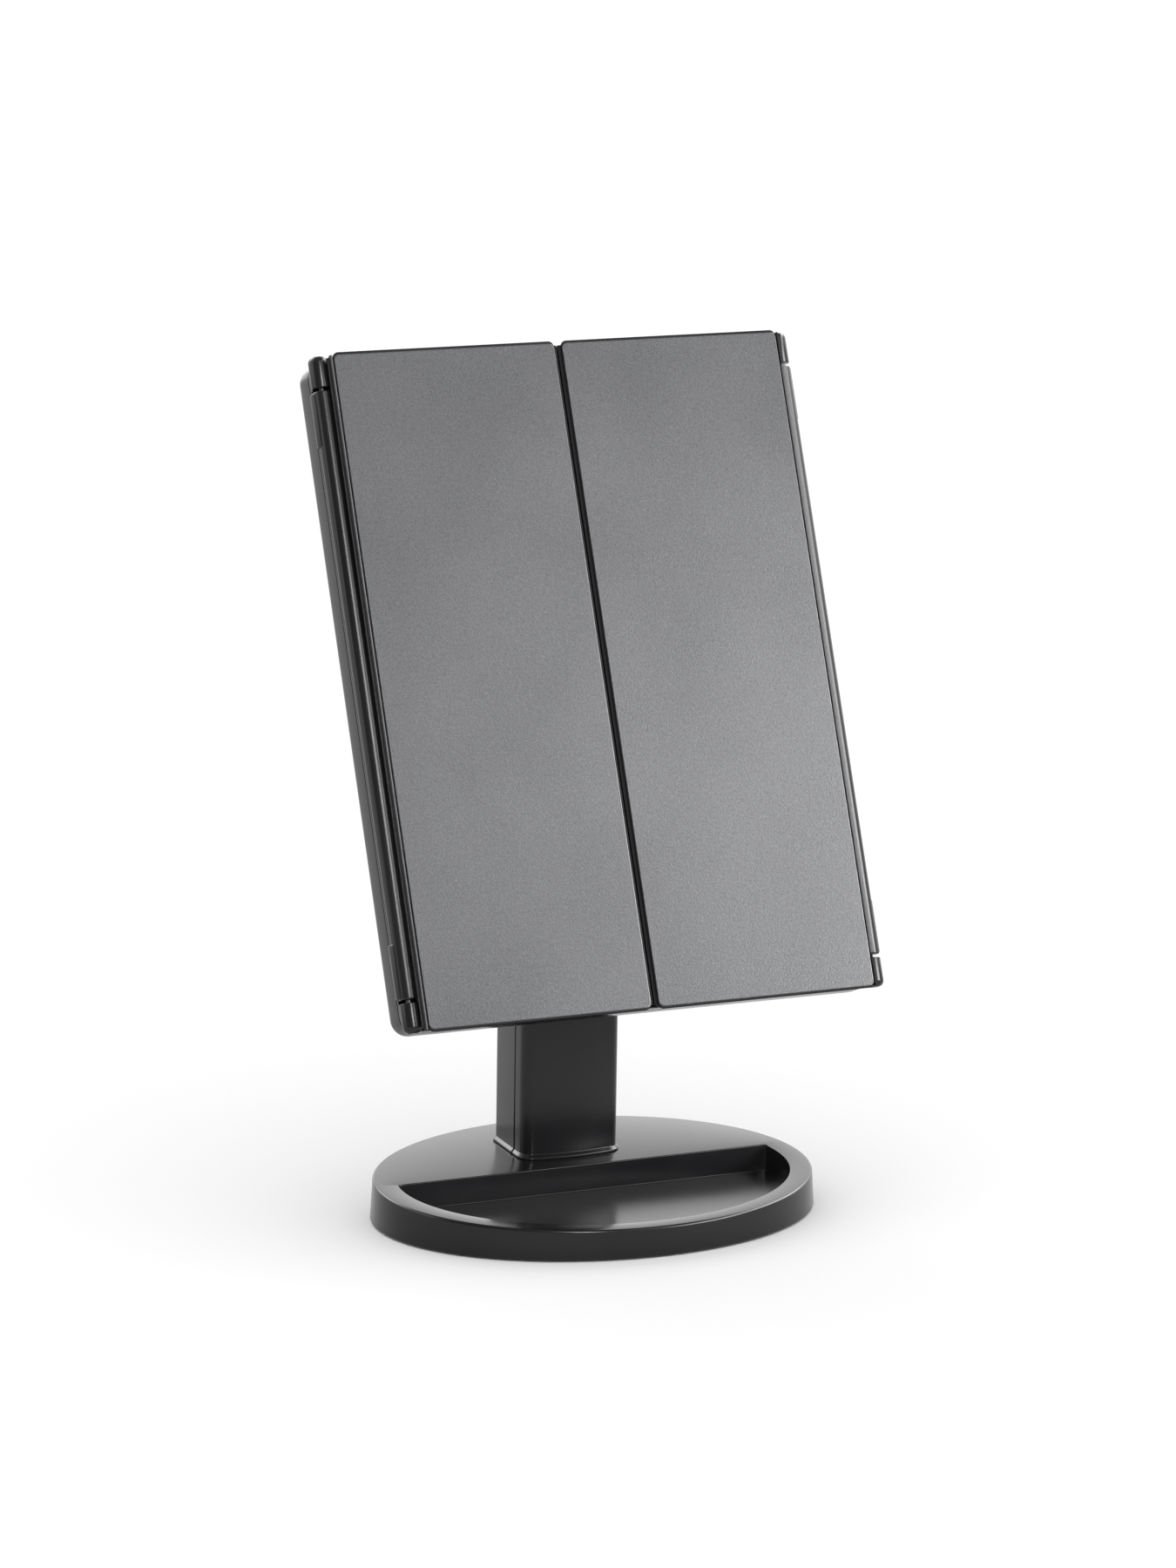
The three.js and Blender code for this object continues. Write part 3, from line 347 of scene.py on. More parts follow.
METAL = {"Metallic": 1.0}
JET, SOFT_JET = (0.004, 0.004, 0.0045), (0.006, 0.006, 0.0065)
satin_black = moulded("satin_black_plastic", (0.005, 0.005, 0.0056), (0.007, 0.007, 0.0077), 0.2, 0.0009,
                      0.000006, {"IOR": 1.35})
grained_black = moulded("grained_black_cover", (0.011, 0.0112, 0.0124), (0.026, 0.0263, 0.0286), 0.36,
                        0.0006, 0.0001, pebbled=True)
# Painted shade: a dull black that hardly reflects, for the strips round the covers that stand in for the shade in
# their narrow gaps. The frame's own edge there is black as well.
shade_painted_black = moulded("shade_painted_black_edge", JET, SOFT_JET, 0.6, 0.001, 0.00001, {"Specular IOR Level": 0.15})
gloss_black = moulded("gloss_black_hinge", JET, SOFT_JET, 0.26, 0.0008, 0.00001)
rubber = moulded("black_rubber", (0.018, 0.018, 0.018), (0.03, 0.03, 0.029), 0.8, 0.0005, 0.00004)
zinc_steel = moulded("zinc_plated_steel", (0.6, 0.6, 0.62), (0.72, 0.72, 0.73), 0.28, 0.0008, 0.00001, METAL)
dark_steel = moulded("oiled_steel_pin", (0.05, 0.05, 0.053), (0.08, 0.08, 0.083), 0.42, 0.0008, 0.00001,
                     METAL)
raw_iron = moulded("raw_iron", (0.16, 0.15, 0.15), (0.28, 0.27, 0.26), 0.6, 0.0012, 0.0001, METAL)
bare_copper = moulded("bare_copper", (0.68, 0.36, 0.2), (0.8, 0.48, 0.3), 0.3, 0.0008, 0.00001, METAL)
green_board = moulded("green_circuit_board", (0.01, 0.09, 0.045), (0.016, 0.14, 0.07), 0.45, 0.001, 0.00002)
white_board = moulded("white_circuit_board", (0.78, 0.78, 0.75), (0.84, 0.84, 0.82), 0.5, 0.001, 0.00002)
SATIN, GRAINED = (satin_black, "satin_black"), (grained_black, "grained_black")
GLOSS, SHADE_PAINTED = (gloss_black, "gloss_black"), (shade_painted_black, "gloss_black")
RUBBER, STEEL = (rubber, "rubber"), (zinc_steel, "steel")
print("plastics and metals:", len(bpy.data.materials))

# %% [markdown]
# The mirrors are silvered glass: almost perfect reflectors, very slightly green, with the faint orange
# peel of float glass so that long reflections are not ruler straight. The diffusers over the lights are
# frosted acrylic: white, soft and a little translucent.

# %% Mirror and frosted diffuser
silvered_glass, tree, shader = finish_of("silvered_glass")
broad = noise(tree, 9, 1)
feed(tree, shader, {"Base Color": two_colours(tree, broad, (0.86, 0.9, 0.88), (0.9, 0.93, 0.92)),
                    "Roughness": spread(tree, broad, 0.015, 0.03), **METAL})
bumped(tree, shader, noise(tree, 14, 0), 0.02, 0.0002)

frosted, tree, shader = finish_of("frosted_diffuser")
cloudy = two_colours(tree, noise(tree, 60, 2), (0.8, 0.82, 0.8), (0.86, 0.87, 0.85))
feed(tree, shader, {"Base Color": cloudy, "Roughness": 0.45, "Subsurface Weight": 0.3,
                    "Subsurface Radius": (0.002, 0.002, 0.002)})
bumped(tree, shader, noise(tree, 1400, 2), 0.3, 0.00002)
SILVERED, FROSTED = (silvered_glass, "silvered_glass"), (frosted, "frosted_diffuser")
print("glass and diffuser:", silvered_glass.name, frosted.name)

# %% [markdown]
# ## The base
#
# The base is one moulding: an oval tub turned upside down, its deck rising slightly towards the back,
# with a tray sunk in front of the column. The tray is the front of a smaller oval, cut off straight by a
# wall. A boolean could cut it, but its rim has to be evenly rounded, because that thin bright line is
# what the eye reads as moulded plastic. So every ring of the skin is found by casting rays from one
# point inside the tray: each ray meets the outer oval, the tray's rim and its floor in turn.

# %% The sizes of the base
shell_low, shell_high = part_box("base_shell")
HALF_WIDTH, HALF_DEPTH = shell_high.x, shell_high.y
DECK_SLOPE = 0.054
WALL_LEAN = 0.7 * MM
DECK_EDGE = 0.9 * MM
SIDE_RIM, FRONT_RIM = 9 * MM, 7.2 * MM
TRAY_A, TRAY_B = HALF_WIDTH - SIDE_RIM, HALF_DEPTH - FRONT_RIM
mounts = {mount["name"]: mount for mount in frame["record"]["mounts"]}
TRAY_FLOOR = Vector(mounts["tray_floor"]["pos_m"]).z
TRAY_BACK = 8 * MM
TRAY_RIM_EDGE, TRAY_FILLET, TRAY_CORNER = 0.35 * MM, 0.3 * MM, 0.7 * MM
deck_height = shell_high.z - DECK_SLOPE * (HALF_DEPTH - WALL_LEAN - DECK_EDGE)
ray_start = Vector((0, -18 * MM))


def deck_at(y):
    return deck_height + DECK_SLOPE * y


# %% Rays that find each ring
RAYS = 240
CORNER_RAYS = (-1.3, -0.9, -0.6, -0.4, -0.2, 0, 0.2, 0.4, 0.6, 0.9, 1.3)  # degrees from a corner


def ray_to_oval(direction, a, b):
    """How far along a ray from ray_start an oval of half sizes a and b lies."""
    p, d = ray_start, direction
    qa = (d.x / a) ** 2 + (d.y / b) ** 2
    qb = 2 * (p.x * d.x / a ** 2 + p.y * d.y / b ** 2)
    qc = (p.x / a) ** 2 + (p.y / b) ** 2 - 1
    return (-qb + math.sqrt(qb * qb - 4 * qa * qc)) / (2 * qa)


def tray_reach(direction, inset):
    """How far along a ray the tray's wall lies, with its two corners softened."""
    oval = ray_to_oval(direction, TRAY_A - inset, TRAY_B - inset)
    if direction.y <= 0:
        return oval
    wall = (TRAY_BACK - inset - ray_start.y) / direction.y
    softened = TRAY_CORNER * math.log(1 + math.exp(-abs(oval - wall) / TRAY_CORNER))
    return min(oval, wall) - softened


# Even directions, with a few more close to the tray's two corners, which turn quickly.
corner = math.atan2(TRAY_BACK - ray_start.y, TRAY_A * math.sqrt(1 - (TRAY_BACK / TRAY_B) ** 2))
angles = {2 * math.pi * i / RAYS for i in range(RAYS)}
for offset in CORNER_RAYS:
    angles |= {corner + math.radians(offset), math.pi - corner - math.radians(offset)}
directions = [Vector((math.cos(a), math.sin(a))) for a in sorted(angles)]
print("rays from inside the tray:", len(directions))


# %% Rings of the base
def lifted(points, height):
    """Points (x, y) raised to a height, which is a number or a function of y."""
    return [(x, y, height(y) if callable(height) else height) for x, y in points]


def oval_ring(inset, height):
    a, b = HALF_WIDTH - inset, HALF_DEPTH - inset
    return lifted([ray_start + d * ray_to_oval(d, a, b) for d in directions], height)


def tray_ring(inset, height):
    return lifted([ray_start + d * tray_reach(d, inset) for d in directions], height)


# %% Skin of the base
FOOT_EDGE = 0.4 * MM
WALL = 2.2 * MM
PLATE_RECESS = 2.2 * MM
SLACK = 0.3 * MM  # the room round a piece in its pocket
bottom = shell_low.z
rings = [oval_ring(WALL, bottom + PLATE_RECESS), oval_ring(WALL, bottom)]
rings += [oval_ring(inset, bottom + rise) for inset, rise in edge_steps(FOOT_EDGE, 3)]
for inset, drop in reversed(edge_steps(DECK_EDGE, 6)):
    rings.append(oval_ring(WALL_LEAN + inset, lambda y: deck_at(y) - drop))
for inset, drop in edge_steps(TRAY_RIM_EDGE):
    rings.append(tray_ring(-inset, lambda y: deck_at(y) - drop))
rings += [tray_ring(inset, TRAY_FLOOR + rise) for rise, inset in edge_steps(TRAY_FILLET, 6)]
low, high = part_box("usb_socket")
port = plate(low - Vector((SLACK, MM, SLACK)), high + Vector((SLACK, 4 * MM, SLACK)), 0.8 * MM, 0.1 * MM)
piece("base_moulding", cut(skin(rings), port), "stand", SATIN, ["base_shell"])

# %% [markdown]
# Under the base there is a flat plate with four rubber feet in shallow recesses. The feet are turned
# pads with a rounded rim and a faint dish, the shape that a punched rubber disc takes.

# %% Plate and feet
FOOT_RIM, FOOT_DISH = 0.4 * MM, 0.0001
SAME_POINT, NEARLY_FLAT = 0.000001, math.radians(0.5)
flat = bmesh.new()  # the CAD node's loose triangles, merged
flat.from_mesh(nodes["base_plate"].data)
bmesh.ops.remove_doubles(flat, verts=flat.verts, dist=SAME_POINT)
bmesh.ops.dissolve_limit(flat, angle_limit=NEARLY_FLAT, verts=flat.verts, edges=flat.edges)
piece("base_underside", flat, "stand", SATIN, ["base_plate"])
for corner in ["front_left", "front_right", "rear_left", "rear_right"]:
    low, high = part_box(f"foot_{corner}")
    middle, radius, height = (low + high) / 2, (high.x - low.x) / 2, high.z - low.z
    profile = [(radius * 0.5, FOOT_DISH), (radius * 0.7, 0), *rim(radius, FOOT_RIM)[1:], (radius, height)]
    place = Matrix.Translation((middle.x, middle.y, low.z))
    piece(f"rubber_foot_{corner}", turned(profile, place), "stand", RUBBER, [f"foot_{corner}"])

# %% [markdown]
# ## The column
#
# The column is two mouldings that meet on a seam along its sides: a front with a slightly bowed face and
# generous corners, and a flatter back that holds the cells. Both flare into one collar where they stand
# on the deck. It is a stack of one outline: grown for the collar, tilted at the foot to sit on the
# sloping deck, and shrunk at the top to round the shoulder.

# %% Outline of the column
front_low, front_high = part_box("stem_front")
back_low, back_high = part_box("stem_back")
COLLAR, COLLAR_SLOPE, COLLAR_HEIGHT = 1 * MM, 1.1 * MM, 1.9 * MM
SEAM_HALF_WIDTH, SEAM_DEPTH = 0.6 * MM, 0.45 * MM
BOW = 1.2 * MM
FRONT_RADIUS, BACK_RADIUS = 4.6 * MM, 2.6 * MM
ARC_STEPS = 8
stem_half = front_high.x - COLLAR
stem_front, stem_back = front_low.y + COLLAR, back_high.y - COLLAR
shoulder = front_high.z
seam = (front_high.y + back_low.y) / 2
seam_gap = back_low.y - front_high.y


def column_outline(grow):
    half, front, back = stem_half + grow, stem_front + BOW - grow, stem_back + grow
    rf, rb = FRONT_RADIUS + grow, BACK_RADIUS + grow
    span = half - rf
    bowed = []
    for i in range(1, 2 * ARC_STEPS):
        x = -span + 2 * span * i / (2 * ARC_STEPS)
        bowed.append((x, front - BOW * (1 - (x / span) ** 2)))
    groove = [(half, seam - SEAM_HALF_WIDTH), (half - SEAM_DEPTH, seam - seam_gap / 2),
              (half - SEAM_DEPTH, seam + seam_gap / 2), (half, seam + SEAM_HALF_WIDTH)]
    return (bowed + arc(half - rf, front + rf, rf, -90, 0, ARC_STEPS) + groove
            + arc(half - rb, back - rb, rb, 0, 90, ARC_STEPS)
            + arc(-half + rb, back - rb, rb, 90, 180, ARC_STEPS)
            + [(-x, y) for x, y in reversed(groove)] + arc(-half + rf, front + rf, rf, 180, 270, ARC_STEPS))


def column_ring(grow, height):
    return lifted(column_outline(grow), height)


# %% Skin of the column
SEAT_GAP = 0.3 * MM
FINE = 0.06 * MM  # the height of the thin rings that keep the collar's two edges crisp
SLOPE_SHARES = (0.04, 0.1, 0.9, 0.96)  # rings on the collar's slope, from 0 at its wall to 1 at the column
SHOULDER_EDGE = 0.6 * MM


def collar_wall(y):
    """The height at which the collar's wall turns into its slope."""
    return deck_at(y) + COLLAR_HEIGHT - COLLAR_SLOPE


def column_skin():
    rings = [column_ring(COLLAR, lambda y: deck_at(y) + SEAT_GAP),
             column_ring(COLLAR, lambda y: collar_wall(y) - FINE)]
    rings += [column_ring(COLLAR * (1 - share), lambda y: collar_wall(y) + share * COLLAR_SLOPE)
              for share in SLOPE_SHARES]
    rings += [column_ring(0, lambda y: collar_wall(y) + COLLAR_SLOPE + i * FINE) for i in (1, 2)]
    rings += [column_ring(-inset, shoulder - drop) for inset, drop in reversed(edge_steps(SHOULDER_EDGE))]
    return skin(rings)


# %% The column, split at its seam
FAR = 0.4  # past everything
SHARP = 0.05 * MM  # the rounding on the edges of a cutter


def column_half(y1, y2):
    return boolean(column_skin(), [block((-FAR, y1, -FAR), (FAR, y2, FAR))], "INTERSECT")


def pocket_for(node):
    """A cutter a little larger than a node, running out of the back."""
    low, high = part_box(node)
    high = Vector((high.x, FAR, high.z)) + Vector((SLACK, 0, SLACK))
    return plate(low - Vector((SLACK, SLACK, SLACK)), high, 0.5 * MM, SHARP)


piece("column_front", column_half(-FAR, seam - seam_gap / 2), "stand", SATIN, ["stem_front"])
back_half = column_half(seam + seam_gap / 2, FAR)
piece("column_back", cut(back_half, pocket_for("battery_door"), pocket_for("switch_housing")), "stand", SATIN,
      ["stem_back"])

# %% [markdown]
# The battery door is a flat leaf in the back of the column with a patch of ribs for the thumb. Ribs that
# repeat along a line are work for Geometry Nodes: one rib, a line of points, and an instance on each.

# %% Geometry Nodes that repeat a shape
def new_tree(name, inputs):
    """An empty tree with named inputs, and the outputs of its input node to link from."""
    tree = bpy.data.node_groups.new(name, "GeometryNodeTree")
    for way in ("INPUT", "OUTPUT"):
        tree.interface.new_socket(name="Geometry", in_out=way, socket_type="NodeSocketGeometry")
    for label, kind, value in inputs:
        socket = tree.interface.new_socket(name=label, in_out="INPUT", socket_type=f"NodeSocket{kind}")
        socket.default_value = value
    return tree, tree.nodes.new("NodeGroupInput").outputs


def repeat_on_points(tree, points, shape, material, scale=(1, 1, 1)):
    """One instance of the shape on every point, made real, painted and sent out of the tree."""
    inputs = {"Points": points, "Instance": shape, "Scale": scale}
    copies = add_node(tree, "GeometryNodeInstanceOnPoints", inputs).outputs[0]
    real = add_node(tree, "GeometryNodeRealizeInstances", {"Geometry": copies}).outputs[0]
    painted = add_node(tree, "GeometryNodeSetMaterial", {"Geometry": real, "Material": material}).outputs[0]
    add_node(tree, "NodeGroupOutput", {"Geometry": painted})


def grown_by_nodes(tree, mesh, values, *helpers):
    """What a tree makes of a mesh with the given input values, as a bmesh."""
    carrier = linked("carrier", mesh)
    modifier = carrier.modifiers.new("nodes", "NODES")
    modifier.node_group = tree
    for item in tree.interface.items_tree:
        if item.name in values:
            modifier[item.identifier] = values[item.name]
    return result_of(carrier, *helpers)


# %% A row of bars
rib_tree, given = new_tree("thumb_ribs", [
    ("Count", "Int", 4), ("Start", "Vector", (0, 0, 0)), ("Step", "Vector", (0, 0, 0.002)),
    ("Size", "Vector", (0.01, 0.001, 0.001))])
line = add_node(rib_tree, "GeometryNodeMeshLine", {"Count": given["Count"], "Start Location": given["Start"],
                                                   "Offset": given["Step"]})
bar = add_node(rib_tree, "GeometryNodeMeshCube", {"Size": given["Size"]})
repeat_on_points(rib_tree, line.outputs["Mesh"], bar.outputs["Mesh"], satin_black)
print("a row of bars:", len(rib_tree.nodes), "nodes")

# %% Battery door with its thumb ribs
door_low, door_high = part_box("battery_door")
DOOR_THICKNESS = 1.8 * MM
RIBS, RIB_PITCH, RIB_HEIGHT, RIB_LENGTH, RIB_DEPTH = 4, 2.6 * MM, 1.2 * MM, 16 * MM, 1.2 * MM
leaf_high = Vector((door_high.x, stem_back, door_high.z))
leaf = plate((door_low.x, leaf_high.y - DOOR_THICKNESS, door_low.z), leaf_high, 0.8 * MM, 0.3 * MM)
ribs = grown_by_nodes(rib_tree, bpy.data.meshes.new("carrier"), {
    "Count": RIBS,
    "Start": (0, door_high.y - RIB_DEPTH / 2, door_high.z - RIB_PITCH - RIB_HEIGHT / 2),
    "Step": (0, 0, -RIB_PITCH),
    "Size": (RIB_LENGTH, RIB_DEPTH, RIB_HEIGHT)})
bmesh.ops.bevel(ribs, geom=ribs.edges[:], offset=0.3 * MM, segments=2, affect="EDGES", profile=0.5)
piece("battery_door_leaf", joined(leaf, ribs), "battery_door", SATIN, ["battery_door"])

# %% [markdown]
# ## The neck, the pin and the bracket
#
# The head hangs on a bracket with two round ears, which grip a block that rises out of the column. Their
# rims are eased, as on any injection moulding, so they are built from rounded plates and rods.

# %% Neck block
neck_low, neck_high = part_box("neck_block")
axis_y, axis_z = tilt_point.y, tilt_point.z
EYE = 11 * MM
EYE_SIDES = 64
neck_root = plate(neck_low, (neck_high.x, neck_high.y, shoulder + SEAT_GAP), 0.6 * MM, 0.3 * MM)
neck_shank = plate((neck_low.x, axis_y - EYE, shoulder - MM), (neck_high.x, axis_y + EYE, axis_z),
                   0.3 * MM, 0.3 * MM)
neck_eye = rod(EYE, (neck_low.x, axis_y, axis_z), (neck_high.x, axis_y, axis_z), 0.5 * MM, EYE_SIDES)
piece("neck", joined(neck_root, neck_shank, neck_eye), "stand", SATIN, ["neck_block"])

# %% Bracket with its two ears
foot_low, foot_high = panel_box("tilt_bracket")
cap_low, cap_high = panel_box("pin_cap_right")
BRACKET_PLATE = 3 * MM
SIDES = {"left": -1, "right": 1}
cap_radius = (cap_high.z - cap_low.z) / 2
ear_inner = neck_high.x + 1.5 * MM


def bracket_ear(side):
    x1, x2 = sorted((side * ear_inner, side * cap_high.x))
    web = plate((x1, foot_low.y + MM, -EYE), (x2, 0, EYE), 0.4 * MM, 0.4 * MM)
    return joined(web, rod(EYE, (x1, 0, 0), (x2, 0, 0), 0.5 * MM, EYE_SIDES))


def cap_seat(side):
    return rod(cap_radius + SLACK, (side * (cap_low.x - SEAT_GAP), 0, 0),
               (side * (cap_high.x + 5 * MM), 0, 0), SHARP)


bracket_foot = plate(foot_low, (foot_high.x, foot_low.y + BRACKET_PLATE, foot_high.z), 4 * MM, 0.5 * MM)
bracket = cut(joined(bracket_foot, bracket_ear(-1), bracket_ear(1)), cap_seat(-1), cap_seat(1))
piece("bracket", bracket, "head", SATIN, ["tilt_bracket"])
for word, side in SIDES.items():
    cap = rod(cap_radius, (side * cap_low.x, 0, 0), (side * cap_high.x, 0, 0), 0.4 * MM)
    piece(f"pin_cover_{word}", cap, "head", SATIN, [f"pin_cap_{word}"])

# %% [markdown]
# ## The head
#
# The head is two mouldings as well: a bezel in front, which carries the glass and the ends of the hinge
# barrels, and a deep rear cover with softly rounded corners. The rear cover is a plate whose back edge
# is rounded as much as its corners, so that each corner becomes part of a ball.

# %% Rear cover
cover_low, cover_high = panel_box("head_rear_cover")
HEAD_RADIUS = 6 * MM
HEAD_STEPS = 10
SINK_RADIUS, SINK_DEPTH = 3.1 * MM, 4 * MM
TUCK = 0.6 * MM


def sink_for(node):
    """A round sink from the cover's back down to a screw."""
    low, high = panel_box(node)
    middle = (low + high) / 2
    return rod(SINK_RADIUS, (middle.x, cover_high.y - SINK_DEPTH, middle.z),
               (middle.x, cover_high.y + MM, middle.z), SHARP)


rear_cover = plate(cover_low + Vector((0, 0, TUCK)), cover_high, HEAD_RADIUS, 0.25 * MM, HEAD_RADIUS,
                   HEAD_STEPS, HEAD_STEPS)
rear_cover = cut(rear_cover, *[sink_for(f"cover_screw_{i}") for i in range(1, 5)])
piece("rear_cover", rear_cover, "head", SATIN, ["head_rear_cover"])

# %% The sizes of the hinge barrels
BARREL_RADIUS = 3.5 * MM
KNUCKLE, KNUCKLE_RISE, DOME = 10.4 * MM, 0.9 * MM, 2.2 * MM
LUG_RADIUS, LUG_LENGTH = 3.1 * MM, 19 * MM
LUG_OUT, LUG_BACK, LUG_SET_BACK = 1.05 * MM, 0.75 * MM, 0.5 * MM
SLIT = 1.2 * MM
RUNNING_GAP = 0.5 * MM
bezel_front = panel_box("centre_mirror")[0].y - 0.5 * MM
relief_radius = LUG_RADIUS + math.hypot(LUG_OUT, LUG_BACK) + RUNNING_GAP


def upright_rod(radius, side, z1, z2, out=0.0, back=0.0, edge=0.3 * MM, top_edge=None):
    """A rod on the hinge's axis, or moved outwards and backwards from it."""
    x, y = side * (hinge_at.x + out), hinge_at.y + back
    return rod(radius, (x, y, z1), (x, y, z2), edge, far_edge=top_edge)


def opening_for(node, before, behind, corner):
    """A cutter a little wider than a node, which runs on in front of it and behind it."""
    low, high = panel_box(node)
    return plate(low - Vector((SLACK, before, SLACK)), high + Vector((SLACK, behind, SLACK)), corner, SHARP)


# %% Bezel with the ends of the hinge barrels
THROUGH = 20 * MM
low, high = cover_low, cover_high
bezel = plate((low.x, bezel_front, low.z + TUCK), (high.x, panel_box("head_bezel")[1].y, high.z),
              HEAD_RADIUS, 0.4 * MM, 0.25 * MM, HEAD_STEPS)
reliefs = [upright_rod(relief_radius, side, low.z + KNUCKLE, high.z - KNUCKLE) for side in (-1, 1)]
ends = []
for side in (-1, 1):
    ends += [upright_rod(BARREL_RADIUS, side, low.z, low.z + KNUCKLE, edge=DOME, top_edge=0.3 * MM),
             upright_rod(BARREL_RADIUS, side, high.z - KNUCKLE, high.z + KNUCKLE_RISE, top_edge=DOME)]
openings = [opening_for("centre_mirror", 5 * MM, SLACK, 2.3 * MM)]
openings += [opening_for(f"light_strip_{word}", THROUGH, THROUGH, 2 * MM) for word in SIDES]
bezel = cut(joined(cut(bezel, *reliefs), *ends), *openings)
piece("bezel", bezel, "head", SATIN, ["head_bezel"])

# %% [markdown]
# The centre mirror's glass has a narrow ground edge, and the light strips either side have softly
# rounded lenses. A small ring near the lower edge of the glass is the touch switch's mark: a plain ring
# with a bar, as on any such switch.

# %% Glass and light strips
def pane(name, node, body, edge):
    """A sheet of silvered glass with a ground front edge."""
    low, high = panel_box(node)
    return piece(name, plate(low, high, 2 * MM, edge, 0.2 * MM), body, SILVERED, [node], 20)


pane("centre_glass", "centre_mirror", "head", 0.5 * MM)
for word in SIDES:
    low, high = panel_box(f"light_strip_{word}")
    piece(f"light_lens_{word}", plate(low, high, 1.7 * MM, 0.7 * MM, 0.2 * MM), "head", FROSTED,
          [f"light_strip_{word}"])

# %% The touch switch's mark
touch_low, touch_high = panel_box("touch_pad")
touch_middle = (touch_low + touch_high) / 2
glass_front = panel_box("centre_mirror")[0].y
MARK_RADIUS, MARK_LINE, MARK_PROUD, MARK_SUNK = 4.2 * MM, 0.6 * MM, 0.08 * MM, 0.1 * MM
MARK_OPENING, MARK_STEPS = 35, 40
BAR_FROM, BAR_TO = 1.5 * MM, MARK_RADIUS + 0.6 * MM
x0, z0, y1, y2 = touch_middle.x, touch_middle.z, glass_front - MARK_PROUD, glass_front + MARK_SUNK
half = MARK_LINE / 2
inner, outer = MARK_RADIUS - half, MARK_RADIUS + half
rings = []
for i in range(MARK_STEPS + 1):
    angle = math.radians(90 + MARK_OPENING + (360 - 2 * MARK_OPENING) * i / MARK_STEPS)
    rings.append([(x0 + r * math.cos(angle), y, z0 + r * math.sin(angle))
                  for r, y in ((inner, y1), (outer, y1), (outer, y2), (inner, y2))])
bar = plate((x0 - half, y1, z0 + BAR_FROM), (x0 + half, y2, z0 + BAR_TO), 0.2 * MM, 0.02 * MM)
piece("touch_mark", joined(skin(rings), bar), "head", FROSTED)

# %% [markdown]
# ## The wings
#
# Each wing is a thin frame with glass on the inside and a grained cover on the outside. Along its hinge
# edge the frame wraps round the cover as a narrow lip, then runs into the glossy barrel. The barrel is
# thicker near its ends, where it is bored for the pins.

# %% The sizes of a wing
COVER_GAP = 0.3 * MM
FRAME_INSET, UNDER_INSET = 0.4 * MM, 0.9 * MM
FLANGE = 1.1 * MM
LIP_STOP = 1.3 * MM
BARREL_END = KNUCKLE + SLIT
STEP_BACK = 0.15 * MM  # inner slabs stand back by this, so that no two faces lie in one plane
PAST = 5 * MM  # how far a cutter runs past an end, or a slab into its neighbour
THIN_CORNER, THIN_EDGE = 0.2 * MM, 0.1 * MM


def slab(side, xs, ys, zs, corner, edge, back_edge=None):
    """A plate of the right wing, or its mirror image in the left wing."""
    left, right = sorted((side * xs[0], side * xs[1]))
    return plate((left, ys[0], zs[0]), (right, ys[1], zs[1]), corner, edge, back_edge)


# %% Wing frame
def hinge_tube(side, bottom, top):
    """The barrel and its two thicker stretches, set back a little from its ends."""
    start, end = bottom + LUG_SET_BACK, top - LUG_SET_BACK
    lugs = [upright_rod(LUG_RADIUS, side, z, z + LUG_LENGTH, LUG_OUT, LUG_BACK, 0.5 * MM)
            for z in (start, end - LUG_LENGTH)]
    return [upright_rod(BARREL_RADIUS, side, bottom, top, edge=0.5 * MM), *lugs]


def wing_frame(side, cover_a, cover_b, panes):
    near, back = cover_b.y + COVER_GAP, panel_box(panes[0])[1].y + 0.1 * MM
    low, high = cover_a.z + UNDER_INSET, cover_b.z - FRAME_INSET
    bottom, top = cover_a.z + BARREL_END, cover_b.z - BARREL_END
    free_edge = min(abs(cover_a.x), abs(cover_b.x)) + FRAME_INSET
    frame_x, lip_x = hinge_at.x - BARREL_RADIUS - COVER_GAP, hinge_at.x - LIP_STOP
    body = slab(side, (free_edge, frame_x), (near, back), (low, high), 2 * MM, 0.3 * MM)
    flange = slab(side, (frame_x - PAST, lip_x - STEP_BACK), (near + STEP_BACK, near + FLANGE),
                  (low + 2 * STEP_BACK, high - 2 * STEP_BACK), THIN_CORNER, THIN_EDGE)
    web = slab(side, (frame_x - MM, lip_x - 2 * STEP_BACK), (near + 2 * STEP_BACK, back - STEP_BACK),
               (bottom, top), THIN_CORNER, THIN_EDGE)
    reliefs = [upright_rod(BARREL_RADIUS + RUNNING_GAP, side, z1, z2, edge=0.01 * MM)
               for z1, z2 in ((cover_a.z - PAST, bottom), (top, cover_b.z + PAST))]
    pockets = [opening_for(node, SLACK, 9 * MM, 1.3 * MM) for node in panes]
    return cut(joined(cut(joined(body, flange), *reliefs), web, *hinge_tube(side, bottom, top)), *pockets)


# %% Lips and rims round a cover
LIP_SET_BACK = 0.1 * MM
RIM_PROUD, RIM_UNDER, RIM_REACH = 0.9 * MM, 0.6 * MM, 20 * MM
HALF_SLIT, EDGE_DEPTH = 0.3 * MM, 1.8 * MM


def wing_lip(side, cover_a, cover_b, width, short):
    """The narrow ridge beside the cover. It stops short of the barrel's ends by the given length."""
    edge = max(abs(cover_a.x), abs(cover_b.x)) + 0.35 * MM
    return slab(side, (edge, edge + width), (cover_a.y + LIP_SET_BACK, cover_b.y + COVER_GAP + FLANGE / 2),
                (cover_a.z + short, cover_b.z - short), 0.3 * MM, 0.3 * MM, 0.1 * MM)


